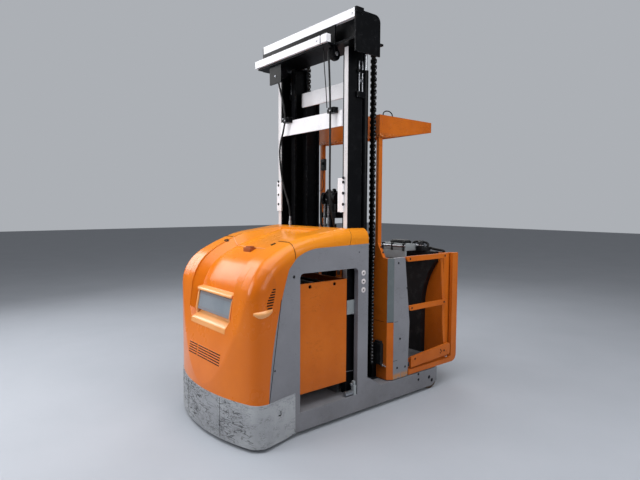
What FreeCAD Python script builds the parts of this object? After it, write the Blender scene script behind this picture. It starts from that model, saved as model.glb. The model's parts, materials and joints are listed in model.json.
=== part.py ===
import FreeCAD, Part
import math
import os
import Sketcher
from FreeCAD import Placement, Rotation, Vector

# Order picker truck, in millimetres.
# +X points to the operator's cabin, -X to the drive unit, -Y is the near side, +Z is up.
# The origin is on the floor, at the middle of the truck's bounding box.

doc = FreeCAD.newDocument("order_picker_truck")
sheet = doc.addObject("Spreadsheet::Sheet", "Sizes")

# name, value in mm (or degrees), meaning
SIZES = [
    ("half_width", 500, "centre line to the outer face of the side frames"),
    ("ground_gap", 30, "floor to the underside of the frame"),
    ("nose_reach", 1140, "origin to the foremost point of the bumper skirt"),
    ("nose_bulge", 90, "rise of the skirt's front arc"),
    ("nose_half", 485, "half chord of the skirt's front arc"),
    ("shoulder_reach", "=nose_reach - 180", "origin to the widest place of the skirt"),
    ("shoulder_half", 553, "half width at the skirt's shoulder"),
    ("shoulder_bulge", 20, "rise of the skirt's corner arcs"),
    ("nose_round", 100, "radius between the nose and the shoulder"),
    ("waist_round", 400, "radius between the shoulder and the straight side"),
    ("skirt_end", 700, "origin to the rear end of the skirt"),
    ("skirt_bottom", 25, "floor to the skirt"),
    ("skirt_top", 305, "floor to the joint of skirt and hood"),
    ("skirt_wall", 45, "wall of the skirt"),
    ("hood_inset", 4, "hood set back from the skirt"),
    ("hood_wall", 28, "wall of the hood"),
    ("front_rise", 836, "skirt joint to the corner of the hood's front line and its slope"),
    ("front_lean", 113, "nose to that corner"),
    ("slope_run", 344, "that corner to the next one, along the slope"),
    ("slope_rise", 187, "rise of the slope"),
    ("crown_round", 330, "radius between the hood's front and slope"),
    ("slope_round", 900, "radius between the slope and the roof"),
    ("roof_rise", 62, "rise of the roof from the slope to the mast"),
    ("side_round", 85, "radius between the roof and the sides"),
    ("groove_depth", 62, "depth of the hood's middle channel"),
    ("groove_floor", 250, "half width of the channel's floor"),
    ("groove_mouth", 305, "half width of the channel's mouth"),
    ("groove_foot", 440, "skirt joint to the channel's lower end"),
    ("groove_lip", 34, "height of the sloping lip at the channel's lower end"),
    ("badge_half", 235, "half width of the badge plate"),
    ("badge_rise", 45, "channel's lower end to the badge plate"),
    ("badge_height", 150, "height of the badge plate"),
    ("badge_depth", 25, "depth of the badge plate"),
    ("seam_gap", 2, "gap of the seam between hood and rear cover"),
    ("roof_end", 205, "origin to the end of the roof at the mast"),
    ("roof_height", "=skirt_top + front_rise + slope_rise + roof_rise", "height of the roof at the mast"),
    ("seam_reach", 700, "origin to the hood seam on the roof"),
    ("foot_reach", "=nose_reach - 205", "origin to the side frame's edge at its foot"),
    ("bend_reach", "=foot_reach - 179", "origin to the side frame's upper bend"),
    ("bend_height", "=roof_height - 253", "height of the side frame's upper bend"),
    ("edge_swell", 36, "rise of the arc of the side frame's edge"),
    ("bend_step", 70, "upper bend to the start of the upper arc"),
    ("overrun", 60, "how far a cutting shape runs past what it cuts"),
    ("arch_reach", 499, "origin to the end of the side frame's upper arc"),
    ("arch_height", "=bend_height + 126", "height of the side frame there"),
    ("arch_swell", 38, "rise of the side frame's upper arc"),
    ("column_reach", 30, "origin to the side frame's rear edge"),
    ("column_height", "=arch_height + 10", "height of the side frame at its rear edge"),
    ("frame_plate", 40, "thickness of the side frame"),
    ("bay_front", 660, "origin to the front of the battery opening"),
    ("bay_rear", 133, "origin to the rear of the battery opening"),
    ("bay_sill", 160, "height of the sill under the battery opening"),
    ("bay_top", 1100, "height of the top of the battery opening"),
    ("bay_round", 30, "corner radius of the battery opening"),
    ("leg_inner", 385, "centre line to the inside of a leg"),
    ("leg_end", 805, "origin to the tip of a leg"),
    ("leg_knee", 262, "height of the leg at the column"),
    ("leg_neck", 177, "height of the leg behind the column"),
    ("leg_tip", 174, "height of the leg at its tip"),
    ("leg_nose_low", 70, "underside of the leg at its tip"),
    ("plate_top", 100, "height of the base plate under the mast"),
    ("bed_top", 155, "height of the floor under the battery"),
    ("plate_low", 60, "underside of the base plate"),
    ("wheel_reach", 740, "origin to the load wheels' axle"),
    ("wheel_radius", 76, "radius of a load wheel"),
    ("wheel_width", 80, "width of a load wheel"),
    ("wheel_gap", 7, "gap beside a load wheel"),
    ("axle_radius", 15, "radius of the load wheels' axle"),
    ("running_gap", 0.05, "radial clearance of a running fit"),
    ("drive_reach", "=bulkhead + drive_radius + 15", "origin to the steering axis"),
    ("drive_radius", 172, "radius of the drive wheel"),
    ("drive_width", 110, "width of the drive wheel"),
    ("drive_axle", 25, "radius of the drive wheel's axle"),
    ("turntable", 150, "radius of the steering turntable"),
    ("turntable_plate", 30, "thickness of the turntable"),
    ("fork_cheek", 25, "thickness of a steering fork cheek"),
    ("fork_gap", 8, "gap between drive wheel and fork cheek"),
    ("motor_radius", 125, "radius of the drive motor"),
    ("motor_height", 235, "height of the drive motor"),
    ("bulkhead", 678, "origin to the bulkhead behind the drive unit"),
    ("bulkhead_top", 1020, "height of the bulkhead"),
    ("bulkhead_plate", 18, "thickness of the bulkhead"),
    ("bridge_low", "=drive_radius * 2 + 76", "underside of the bridge that carries the drive unit"),
    ("bridge_plate", 30, "thickness of the bridge"),
    ("battery_front", 655, "origin to the battery's front"),
    ("battery_length", 450, "length of the battery along the truck"),
    ("battery_half", 455, "half width of the battery"),
    ("battery_low", 262, "height of the battery's underside"),
    ("battery_height", 760, "height of the battery trough"),
    ("tray_wall", 6, "wall of the battery trough"),
    ("tray_hole", 13, "radius of the trough's lifting holes"),
    ("hole_drop", 26, "top of the trough to its lifting holes"),
    ("cell_gap", 4, "gap between the cells and the trough"),
    ("cell_drop", 70, "top of the trough to the cells"),
    ("rail_plate", 18, "thickness of the battery bed's rails"),
    ("roller_radius", 20, "radius of the battery bed's rollers"),
    ("roller_pitch", 140, "spacing of the battery bed's rollers"),
    ("mast_front", 190, "origin to the front face of the outer mast"),
    ("channel_depth", 140, "depth of a mast channel along X"),
    ("channel_wall", 14, "thickness of a mast channel"),
    ("stage_step", 80, "step in X from one mast stage to the next"),
    ("outer_face", 436, "centre line to the outer stage's outer face"),
    ("outer_lip", 385, "centre line to the outer stage's flange tips"),
    ("middle_face", 361, "centre line to the middle stage's outer face"),
    ("middle_lip", 310, "centre line to the middle stage's flange tips"),
    ("inner_face", 304, "centre line to the inner stage's outer face"),
    ("inner_lip", 254, "centre line to the inner stage's flange tips"),
    ("outer_top", 2676, "height of the outer stage"),
    ("middle_low", 130, "underside of the middle stage"),
    ("middle_top", "=bar_low - deck_plate", "height of the middle stage"),
    ("inner_low", 160, "underside of the inner stage"),
    ("inner_top", 2500, "height of the inner stage"),
    ("roller_play", 0.3, "clearance of a mast roller in its channel"),
    ("tie_plate", 12, "thickness of the mast's cross plates"),
    ("tie_half", 385, "half width of the outer cross plate"),
    ("tie_low", 2124, "underside of the outer cross plate"),
    ("tie_high", 2240, "top of the outer cross plate"),
    ("bracket_low", 1504, "underside of the brackets on the outer rails"),
    ("bracket_high", 1751, "top of those brackets"),
    ("bracket_near", 345, "centre line to the inside of the near bracket"),
    ("bracket_far", 383, "centre line to the inside of the far bracket"),
    ("bracket_width", 60, "width of a bracket"),
    ("clamp_near", 307, "centre line to the near hose clamp"),
    ("clamp_far", 256, "centre line to the far hose clamp"),
    ("clamp_half", 38, "half width of a hose clamp"),
    ("clamp_depth", 42, "depth of a hose clamp"),
    ("clamp_drop", 18, "cross plate's top to the underside of a hose clamp"),
    ("clamp_rise", 22, "cross plate's top to the top of a hose clamp"),
    ("inner_tie_low", 2372, "underside of the inner cross plate"),
    ("inner_tie_high", 2488, "top of the inner cross plate"),
    ("cheek_low", 2600, "underside of the near cheek"),
    ("head_half", 577, "centre line to the outside of the mast head"),
    ("head_top", 2880, "height of the mast head's cheeks"),
    ("head_front", 253, "origin to the front of the cheeks"),
    ("head_rear", 15, "origin to the rear of the cheeks"),
    ("cheek_plate", 12, "thickness of a cheek"),
    ("head_round", 50, "radius of a cheek's rear corner"),
    ("head_gap", 5, "gap between the head and the inner stage"),
    ("deck_plate", 14, "thickness of the head's deck"),
    ("lug_length", 70, "length of the lug on the near cheek"),
    ("lug_drop", 20, "top of the cheek to the lug's underside"),
    ("lug_rise", 14, "top of the cheek to the lug's top"),
    ("ear_inner", 255, "centre line to the inside of the plate under the head"),
    ("ear_outer", 418, "centre line to the outside of that plate"),
    ("ear_low", 2540, "underside of that plate"),
    ("beam_depth", 30, "depth of the upper beam"),
    ("bar_depth", 20, "depth of the lower beam"),
    ("beam_low", 2830, "underside of the upper beam"),
    ("beam_top", 2890, "top of the upper beam"),
    ("bar_front", 310, "origin to the front of the lower beam"),
    ("bar_low", 2700, "underside of the lower beam"),
    ("bar_top", 2756, "top of the lower beam"),
    ("bar_near", 283, "centre line to the near end of the lower beam"),
    ("block_gap", 17, "near end of the lower beam to the block beside it"),
    ("block_width", 60, "width of that block"),
    ("sheave_reach", 225, "origin to the hose sheaves' axle"),
    ("sheave_half", 325, "centre line to a hose sheave"),
    ("sheave_height", 2636, "height of the hose sheaves' axle"),
    ("sheave_radius", 46, "radius of a hose sheave"),
    ("sheave_width", 20, "width of a hose sheave"),
    ("pulley_radius", 76, "radius of the head pulleys"),
    ("pulley_half", 400, "centre line to a chain's middle"),
    ("chain_reach", 87, "origin to the front of a lift chain"),
    ("chain_width", 40, "width of a lift chain"),
    ("chain_depth", 26, "depth of a lift chain"),
    ("chain_pitch", 45, "pitch of a lift chain's links as modelled"),
    ("lift_half", 411, "centre line to the lift cylinders' axes"),
    ("lift_tube", 26, "outer radius of a lift cylinder"),
    ("lift_rod", 17, "radius of a lift cylinder's rod"),
    ("lift_foot", 40, "depth of a lift cylinder's seat in the leg"),
    ("lift_top", 2540, "height of a lift cylinder's tube"),
    ("free_reach", 35, "origin to the centre cylinder's axis"),
    ("free_tube", 42, "outer radius of the centre cylinder"),
    ("free_rod", 28, "radius of the centre cylinder's rod"),
    ("free_top", 1400, "height of the centre cylinder's tube"),
    ("cross_low", 1450, "underside of the crosshead"),
    ("yoke_half", 95, "half width of the crosshead's yoke"),
    ("yoke_depth", 40, "half depth of the yoke"),
    ("yoke_height", 45, "height of the yoke"),
    ("yoke_gap", 40, "centre line to the crosshead's cheeks"),
    ("yoke_rise", 170, "top of the crosshead's cheeks over its underside"),
    ("cross_wheel", 52, "radius of the crosshead's wheels"),
    ("cross_width", 32, "width of those wheels"),
    ("cab_front", 207, "origin to the cabin's mast-side wall"),
    ("cab_half", 500, "centre line to the cabin's side"),
    ("cab_low", 183, "underside of the cabin"),
    ("cab_floor", 223, "top of the cabin floor"),
    ("cab_top", 1145, "height of the cabin's walls"),
    ("cab_wall", 30, "thickness of the cabin's mast-side wall"),
    ("cab_end", 1075, "origin to the cabin's fork-side face"),
    ("corner_start", 252, "origin to the corner panel's side face"),
    ("seam_height", 640, "height of the seam in the mast-side wall"),
    ("post_face", 75, "width of the fork-side post's outer face"),
    ("post_inset", 62, "cabin side to the fork-side post's inner web"),
    ("post_web", 41, "cabin side to the outside of that web"),
    ("post_corner", 60, "radius of the post's lower corner"),
    ("post_crook", 25, "radius between the post and the sill"),
    ("post_lap", 20, "set-back of the post's web from its faces"),
    ("fork_wall", 25, "thickness of the fork-side wall"),
    ("sill_height", 40, "height of the sill under the gates"),
    ("slide_reach", 15, "origin to the inner end of the cabin's slide"),
    ("slide_plate", 22, "thickness of the slide's plates"),
    ("slide_depth", 45, "depth of the slide's cross bars"),
    ("slide_bar", 90, "height of those bars"),
    ("slide_height", 560, "height of the slide"),
    ("slide_rise", 60, "top of the slide over the cabin's walls"),
    ("slide_foot", 170, "height of the slide's brackets over its underside"),
    ("fore_wall", 965, "origin to the inner face of the fork-side wall"),
    ("mat_margin", 14, "floor left free round the mat"),
    ("mat_thick", 10, "thickness of the floor mat"),
    ("corner_foot", 425, "origin to the corner panel's edge at its foot"),
    ("corner_waist", 440, "origin to the corner panel's edge at its waist"),
    ("corner_head", 377, "origin to the corner panel's edge at its head"),
    ("corner_thick", 30, "thickness of the corner panel"),
    ("waist_height", 617, "height of the corner panel's waist"),
    ("gate_in", 480, "centre line to the inside of the gate rails"),
    ("gate_out", 498, "centre line to the outside of the gate rails"),
    ("gate_top", 1128, "height of the gate's upper pivots"),
    ("gate_mid", 728, "height of the gate's middle pivots"),
    ("gate_toe", 290, "height of the gate's lower pivots"),
    ("gate_rear", 425, "origin to the upper rear pivot"),
    ("gate_lean", 35, "offset of the middle pivots from the upper ones"),
    ("toe_back", 28, "toe panel past its rear pivot"),
    ("toe_front", 37, "toe panel past its front pivot"),
    ("toe_rear_low", 54, "rear pivot to the toe panel's underside"),
    ("toe_rear_high", 32, "rear pivot to the toe panel's top"),
    ("toe_front_low", 33, "front pivot to the toe panel's underside"),
    ("toe_front_high", 69, "front pivot to the toe panel's top"),
    ("corner_plate", 12, "thickness of the bar that holds a gate"),
    ("link_plate", 10, "thickness of a gate's link"),
    ("link_gap", 6, "gap between the link and the rails"),
    ("link_bow", 8, "bow of a gate's link"),
    ("bearer_reach", 300, "origin to the bar behind the corner panel that holds a gate"),
    ("bearer_width", 60, "width of that bar"),
    ("toe_lean", 73, "offset of the lower pivots from the upper ones"),
    ("rail_end", 45, "upper rail past its front pivot"),
    ("gate_span", 450, "distance between a rail's pivots"),
    ("rail_half", 21, "half height of a gate rail"),
    ("pin_radius", 9, "radius of the gate pins"),
    ("post_rear", 207, "origin to the guard posts"),
    ("post_depth", 40, "depth of a guard post along X"),
    ("post_inner", 333, "centre line to the inside of a guard post"),
    ("post_width", 28, "width of a guard post"),
    ("foot_flare", 60, "flare of a guard post's foot"),
    ("foot_rise", 110, "height of that flare"),
    ("guard_low", 2172, "underside of the overhead guard at its front"),
    ("guard_top", 2255, "height of the overhead guard"),
    ("guard_drop", 2085, "underside of the guard's sides at the posts"),
    ("guard_rear", 200, "origin to the guard's mast-side edge"),
    ("guard_front", 827, "origin to the guard's fork-side edge"),
    ("guard_half", "=post_inner + post_width + 12", "half width of the guard"),
    ("guard_frame", 12, "width of the guard's frame"),
    ("guard_slat", 18, "width of a guard slat"),
    ("slat_depth", 30, "height of a guard slat"),
    ("guard_plate", 110, "length of the guard's closed plate"),
    ("guard_haunch", 90, "length of the deep end of the guard's sides"),
    ("desk_low", 1150, "underside of the control desk"),
    ("desk_top", 1212, "top of the control desk"),
    ("desk_half", 280, "half width of the control desk"),
    ("desk_depth", 250, "depth of the control desk"),
    ("desk_lap", 20, "overlap of the desk on the fork-side wall"),
    ("pedestal_foot", 235, "half width of the console at the floor"),
    ("pedestal_head", 372, "half width of the console at the desk"),
    ("pedestal_depth", 60, "depth of the console"),
    ("pedestal_swell", 30, "rise of the console's side arcs"),
    ("pedestal_drop", 90, "straight top of the console's sides"),
    ("display_near", 130, "centre line to the display's near end"),
    ("display_far", 60, "centre line to the display's far end"),
    ("display_depth", 80, "depth of the display"),
    ("display_height", 38, "height of the display"),
    ("display_gap", 10, "display to the fork-side wall"),
    ("knob_reach", 170, "steering knob to the fork-side wall"),
    ("knob_side", 150, "centre line to the steering knob"),
    ("knob_height", 55, "height of the steering knob"),
    ("knob_radius", 22, "radius of the steering knob"),
    ("fork_reach", 1140, "origin to the face of the fork carriage"),
    ("fork_half", 400, "half width of the fork carriage"),
    ("fork_rise", 420, "fork carriage's lower bar to the upper one"),
    ("fork_bar", 70, "height of a fork carriage bar"),
    ("fork_arm", 280, "centre line to the outside of a fork carriage arm"),
]
for row, (name, value, meaning) in enumerate(SIZES, start=1):
    sheet.set(f"A{row}", name)
    sheet.set(f"B{row}", str(value))
    sheet.set(f"C{row}", meaning)
    sheet.setAlias(f"B{row}", name)
doc.recompute()


class Size:
    """A number with the sheet expression that it comes from."""

    def __init__(self, value, text):
        self.value = value
        self.text = text

    def __add__(self, other):
        other = as_size(other)
        return Size(self.value + other.value, f"({self.text} + {other.text})")

    def __sub__(self, other):
        other = as_size(other)
        return Size(self.value - other.value, f"({self.text} - {other.text})")

    def __mul__(self, other):
        other = as_size(other)
        return Size(self.value * other.value, f"({self.text} * {other.text})")

    def __truediv__(self, other):
        other = as_size(other)
        return Size(self.value / other.value, f"({self.text} / {other.text})")

    def __neg__(self):
        return Size(-self.value, f"(0 - {self.text})")

    def __radd__(self, other):
        return as_size(other) + self

    def __rsub__(self, other):
        return as_size(other) - self

    def __rmul__(self, other):
        return as_size(other) * self

    def root(self):
        return Size(math.sqrt(self.value), f"sqrt({self.text})")


def as_size(number):
    if isinstance(number, Size):
        return number
    return Size(float(number), f"({number})")


class Sheet:
    """Gives each alias of the sheet as a Size."""

    def __getattr__(self, name):
        return Size(float(sheet.get(name)), f"Sizes.{name}")


z = Sheet()
nodes = {}


def keep(node, piece):
    """Name a finished sub-part."""
    piece.Label = node
    nodes[node] = piece
    return piece


def bind(thing, prop, size):
    size = as_size(size)
    thing.setExpression(prop, size.text)


def place(thing, x=0, y=0, up=0, turn=None):
    if turn:
        thing.Placement = Placement(Vector(), turn)
    for letter, size in (("x", x), ("y", y), ("z", up)):
        bind(thing, f"Placement.Base.{letter}", size)
    return thing


def box(x, y, up):
    """A block between the low and high ends of three spans."""
    block = doc.addObject("Part::Box", "Block")
    for prop, span in (("Length", x), ("Width", y), ("Height", up)):
        bind(block, prop, as_size(span[1]) - span[0])
    return place(block, x[0], y[0], up[0])


def rod(axis, centre, span, radius):
    """A cylinder along an axis, between the two ends of its span."""
    piece = doc.addObject("Part::Cylinder", "Rod")
    bind(piece, "Radius", radius)
    bind(piece, "Height", as_size(span[1]) - span[0])
    if axis == "x":
        return place(piece, span[0], centre[0], centre[1], Rotation(Vector(0, 1, 0), 90))
    if axis == "y":
        return place(piece, centre[0], span[0], centre[1], Rotation(Vector(1, 0, 0), -90))
    return place(piece, centre[0], centre[1], span[0])


def fuse(*pieces):
    whole = doc.addObject("Part::MultiFuse", "Joined")
    whole.Shapes = list(pieces)
    whole.Refine = True
    return whole


def cut(base, *tools):
    tool = tools[0] if len(tools) == 1 else fuse(*tools)
    left = doc.addObject("Part::Cut", "Opened")
    left.Base = base
    left.Tool = tool
    left.Refine = True
    return left


def group(*pieces):
    """Separate solids of one body that share a node."""
    both = doc.addObject("Part::Compound", "Set")
    both.Links = list(pieces)
    return both


PLANES = {"xy": "XY_Plane", "xz": "XZ_Plane", "yz": "YZ_Plane"}


def sketch_on(body, plane, offset, outline):
    """A closed outline on a plane of the body; a point is (u, v) or (u, v, bulge of the edge after it)."""
    drawing = body.newObject("Sketcher::SketchObject", "Outline")
    origin = [part for part in body.Origin.OriginFeatures if part.Role == PLANES[plane]][0]
    drawing.AttachmentSupport = [(origin, "")]
    drawing.MapMode = "FlatFace"
    bind(drawing, "AttachmentOffset.Base.z", offset)
    points = [(as_size(point[0]), as_size(point[1])) for point in outline]
    bulges = [as_size(point[2]) if len(point) > 2 else None for point in outline]
    count = len(points)
    for index in range(count):
        (u1, v1), (u2, v2) = points[index], points[(index + 1) % count]
        start = Vector(u1.value, v1.value, 0)
        end = Vector(u2.value, v2.value, 0)
        if bulges[index] is None:
            drawing.addGeometry(Part.LineSegment(start, end), False)
        else:
            along = end - start
            left = Vector(-along.y, along.x, 0).normalize()
            crest = (start + end) / 2 + left * bulges[index].value
            drawing.addGeometry(Part.Arc(start, crest, end), False)
    # A sketch keeps an arc anticlockwise, so one that bulges to the left has its ends swapped.
    ends = [(2, 1) if bulge is not None and bulge.value > 0 else (1, 2) for bulge in bulges]
    for index in range(count):
        following = (index + 1) % count
        drawing.addConstraint(
            Sketcher.Constraint("Coincident", index, ends[index][1], following, ends[following][0]))
    for index, (u, v) in enumerate(points):
        for kind, size in (("DistanceX", u), ("DistanceY", v)):
            number = drawing.addConstraint(
                Sketcher.Constraint(kind, -1, 1, index, ends[index][0], size.value))
            drawing.setExpression(f"Constraints[{number}]", size.text)
        if bulges[index] is not None:
            other = points[(index + 1) % count]
            rise = bulges[index] if bulges[index].value > 0 else -bulges[index]
            chord = (other[0] - u) * (other[0] - u) + (other[1] - v) * (other[1] - v)
            radius = (chord / 4 + rise * rise) / (2 * rise)
            number = drawing.addConstraint(Sketcher.Constraint("Radius", index, radius.value))
            drawing.setExpression(f"Constraints[{number}]", radius.text)
    return drawing


def prism(plane, span, outline):
    """A body padded from an outline, between the low and high ends of its span."""
    body = doc.addObject("PartDesign::Body", "Body")
    low, high = as_size(span[0]), as_size(span[1])
    offset = -high if plane == "xz" else low
    drawing = sketch_on(body, plane, offset, outline)
    pad = body.newObject("PartDesign::Pad", "Pad")
    pad.Profile = drawing
    bind(pad, "Length", high - low)
    doc.recompute()
    return body


def pocket(body, plane, span, outline):
    """Cut an outline out of a body, between the low and high ends of its span."""
    low, high = as_size(span[0]), as_size(span[1])
    before = body.Shape.Volume
    offset = -high if plane == "xz" else low
    drawing = sketch_on(body, plane, offset, outline)
    hollow = body.newObject("PartDesign::Pocket", "Pocket")
    hollow.Profile = drawing
    hollow.Reversed = True
    bind(hollow, "Length", high - low)
    doc.recompute()
    if body.Shape.Volume >= before:
        raise RuntimeError(f"a pocket of {body.Label} cut nothing")
    return body


def round_edges(body, radius, chosen, kind="Fillet"):
    """Fillet the edges of a body that the test picks, or chamfer them."""
    tip = body.Tip
    names = [f"Edge{number}" for number, edge in enumerate(tip.Shape.Edges, start=1) if chosen(edge)]
    if not names:
        raise RuntimeError(f"no edge to round on {body.Label}")
    dressed = body.newObject(f"PartDesign::{kind}", kind)
    dressed.Base = (tip, names)
    bind(dressed, "Radius" if kind == "Fillet" else "Size", radius)
    doc.recompute()
    return body


def at_corner(corners, axis, reach=0.5):
    """A test for straight edges along an axis that stand on one of the corners."""
    spots = [(as_size(u).value, as_size(v).value) for u, v in corners]

    def chosen(edge):
        if len(edge.Vertexes) != 2 or edge.Curve.TypeId != "Part::GeomLine":
            return False
        first, last = edge.Vertexes[0].Point, edge.Vertexes[1].Point
        along = (last - first).normalize()
        if abs(getattr(along, axis)) < 0.999:
            return False
        others = [letter for letter in "xyz" if letter != axis]
        here = (getattr(first, others[0]), getattr(first, others[1]))
        return any(math.dist(here, spot) < reach for spot in spots)

    return chosen


SIDES = (("near", -1), ("far", 1))


def span_y(side, inner, outer):
    """The span in Y between two distances from the centre line, on one side."""
    return (-outer, -inner) if side < 0 else (inner, outer)


def skirt():
    """The bumper skirt, a wall with the plan outline of the hood."""
    low, high = z.skirt_bottom, z.skirt_top
    outer = shell_plan(0, low, high)
    inner = shell_plan(z.skirt_wall, low - z.overrun, high + z.overrun, z.skirt_wall)
    wide = z.shoulder_half + z.overrun
    front = box((-z.nose_reach - z.overrun, -z.skirt_end), (-wide, wide), (low, high))
    keep("bumper_skirt", common(cut(outer, inner), front))


def shell_plan(inset, low, high, side_inset=0):
    """A block with the plan outline of the hood, the skirt and the side frames."""
    corner = z.nose_reach - z.nose_bulge
    straight = z.half_width - side_inset
    body = prism("xy", (low, high), [
        (z.corner_foot, -straight),
        (-z.skirt_end, -straight),
        (-z.shoulder_reach, -z.shoulder_half + inset, z.shoulder_bulge),
        (-corner + inset, -z.nose_half + inset, z.nose_bulge),
        (-corner + inset, z.nose_half - inset, z.shoulder_bulge),
        (-z.shoulder_reach, z.shoulder_half - inset),
        (-z.skirt_end, straight),
        (z.corner_foot, straight),
    ])
    for radius, (u, v) in (
        (z.nose_round, (-corner + inset, z.nose_half - inset)),
        (z.nose_round, (-z.shoulder_reach, z.shoulder_half - inset)),
        (z.waist_round, (-z.skirt_end, straight)),
    ):
        round_edges(body, radius, at_corner([(u, v), (u, -v)], "z"))
    return body


def common(*pieces):
    shared = doc.addObject("Part::MultiCommon", "Shared")
    shared.Shapes = list(pieces)
    shared.Refine = True
    return shared


def cover_profile():
    """The corners of the cover's upper line, from the nose to the mast."""
    top = z.skirt_top + z.front_rise
    return [
        (-z.nose_reach, z.skirt_top),
        (-z.nose_reach + z.front_lean, top),
        (-z.nose_reach + z.front_lean + z.slope_run, top + z.slope_rise),
        (-z.roof_end, z.roof_height),
    ]


def covers():
    """The shell over drive unit and battery: side view and plan, a channel swept over it, and the seam."""
    nose, brow, crown, roof = cover_profile()
    wide = z.shoulder_half + z.overrun
    lower = [
        (-z.foot_reach, z.skirt_top, z.edge_swell),
        (-z.bend_reach, z.bend_height),
        (-z.bend_reach + z.bend_step, z.bend_height + z.bend_step, z.arch_swell / 3),
        (-z.arch_reach, z.arch_height),
        (-z.column_reach, z.column_height),
    ]
    body = prism("xz", (-wide, wide), lower + [(-z.column_reach, z.roof_height), roof, crown, brow, nose])
    round_edges(body, z.crown_round, at_corner([brow], "y"))
    round_edges(body, z.slope_round, at_corner([crown, roof], "y"))
    high = z.roof_height + z.overrun
    under = z.skirt_top - z.overrun
    plan = shell_plan(z.hood_inset, under, high)
    shell = rounded_sides(common(body, plan))
    wall = z.hood_wall
    depth = z.groove_depth + wall
    foot = z.skirt_top + z.groove_foot
    lean = groove_lean()
    ceiling = z.roof_height - depth / 2 - wall
    inner = prism("xz", (-wide, wide), [
        (nose[0] - z.overrun, under),
        (nose[0] + lean + wall, foot - depth),
        (nose[0] + lean + depth, foot - wall),
        (brow[0] + depth * 1.5, brow[1] - depth * 1.3),
        (crown[0] + wall, crown[1] - depth),
        (-z.roof_end - z.side_round, ceiling),
        (z.column_reach, ceiling),
        (z.column_reach, under),
    ])
    hollow = common(inner, shell_plan(z.hood_inset + wall, under, z.roof_height, z.frame_plate))
    half = z.outer_face + z.seam_gap * 2
    mast_hole = box((-z.roof_end, 0), (-half, half), (z.arch_height - z.overrun, high))
    shell = cut(shell, hollow, mast_hole, groove())
    seam = -z.seam_reach
    ahead = box((-z.nose_reach - z.overrun, seam - z.seam_gap / 2), (-wide, wide), (under, high))
    behind = box((seam + z.seam_gap / 2, z.column_reach), (-wide, wide), (under, high))
    keep("hood", common(shell, ahead))
    keep("rear_cover", common(shell, behind))


def groove_lean():
    """How far the hood's front leans back at the channel's lower end."""
    return z.groove_foot * z.front_lean / z.front_rise


def groove_line():
    """The corners of the channel's floor, from its lower end to the mast."""
    nose, brow, crown, roof = cover_profile()
    depth = z.groove_depth
    foot = z.skirt_top + z.groove_foot
    start = nose[0] + groove_lean()
    return [
        (start - z.groove_lip, foot - z.groove_lip / 2),
        (start + depth, foot + z.groove_lip),
        (brow[0] + depth, brow[1] - depth / 2),
        (crown[0] + depth / 2, crown[1] - depth),
        (-z.roof_end - z.side_round, z.roof_height - depth / 2),
    ]


def badge():
    """A plate without lettering that lies on the upright part of the channel's floor."""
    low, high = groove_line()[1:3]
    slope = (high[0] - low[0]) / (high[1] - low[1])
    first = z.skirt_top + z.groove_foot + z.badge_rise
    last = first + z.badge_height
    rear = [low[0] + (height - low[1]) * slope for height in (first, last)]
    plate = prism("xz", (-z.badge_half, z.badge_half), [
        (rear[0], first),
        (rear[1], last),
        (rear[1] - z.badge_depth, last - z.badge_depth / 2),
        (rear[0] - z.badge_depth, first + z.badge_depth / 2),
    ])
    keep("badge_plate", plate)


def rounded_sides(shell):
    """Round the cover between its roof and its sides; the fillet runs on round the hood's front."""
    doc.recompute()
    chosen = []
    for number, edge in enumerate(shell.Shape.Edges, start=1):
        middle = edge.valueAt((edge.FirstParameter + edge.LastParameter) / 2)
        straight = edge.Curve.TypeId == "Part::GeomLine" and edge.BoundBox.XLength > 100
        at_side = abs(abs(middle.y) - z.half_width.value) < 0.1
        if straight and at_side and middle.z > z.column_height.value + 20:
            chosen.append(number)
    fillet = doc.addObject("Part::Fillet", "Rounded")
    fillet.Base = shell
    radius = z.side_round.value
    fillet.Edges = [(number, radius, radius) for number in chosen]
    doc.recompute()
    return fillet


def groove():
    """The channel over the hood's middle, with sloping side walls."""
    line = groove_line()
    end = line[-1][0]
    high = z.roof_height + z.overrun
    ahead = -z.nose_reach - z.overrun
    body = prism("xz", (-z.groove_mouth, z.groove_mouth),
                 line + [(end, high), (ahead, high), (ahead, line[0][1])])
    round_edges(body, z.crown_round, at_corner([line[2]], "y"))
    round_edges(body, z.slope_round, at_corner([line[3]], "y"))
    mouth = z.groove_mouth.value
    start = line[0][0].value

    def along_floor(edge):
        middle = edge.valueAt((edge.FirstParameter + edge.LastParameter) / 2)
        at_side = abs(abs(middle.y) - mouth) < 0.1
        inside = line[0][1].value + 1 < middle.z < high.value - 1
        return at_side and inside and start < middle.x < end.value - 1

    return round_edges(body, z.groove_mouth - z.groove_floor, along_floor, "Chamfer")


def side_frames():
    """The grey side frames with their battery openings."""
    for side, sign in SIDES:
        body = prism("xz", span_y(sign, z.half_width - z.frame_plate, z.shoulder_half + z.overrun), [
            (-z.skirt_end, z.bay_sill),
            (-z.bay_front, z.bay_sill),
            (-z.bay_front, z.bay_top),
            (-z.bay_rear, z.bay_top),
            (-z.bay_rear, z.bay_sill),
            (-z.column_reach, z.bay_sill),
            (-z.column_reach, z.column_height),
            (-z.arch_reach, z.arch_height, -z.arch_swell / 3),
            (-z.bend_reach + z.bend_step, z.bend_height + z.bend_step),
            (-z.bend_reach, z.bend_height, -z.edge_swell),
            (-z.foot_reach, z.skirt_top),
            (-z.skirt_end, z.skirt_top),
        ])
        corners = [(-z.bay_front, z.bay_top), (-z.bay_rear, z.bay_top)]
        round_edges(body, z.bay_round, at_corner(corners, "y"))
        plan = shell_plan(z.hood_inset, z.bay_sill - z.overrun, z.roof_height)
        keep(f"side_frame_{side}", common(body, plan))


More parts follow.
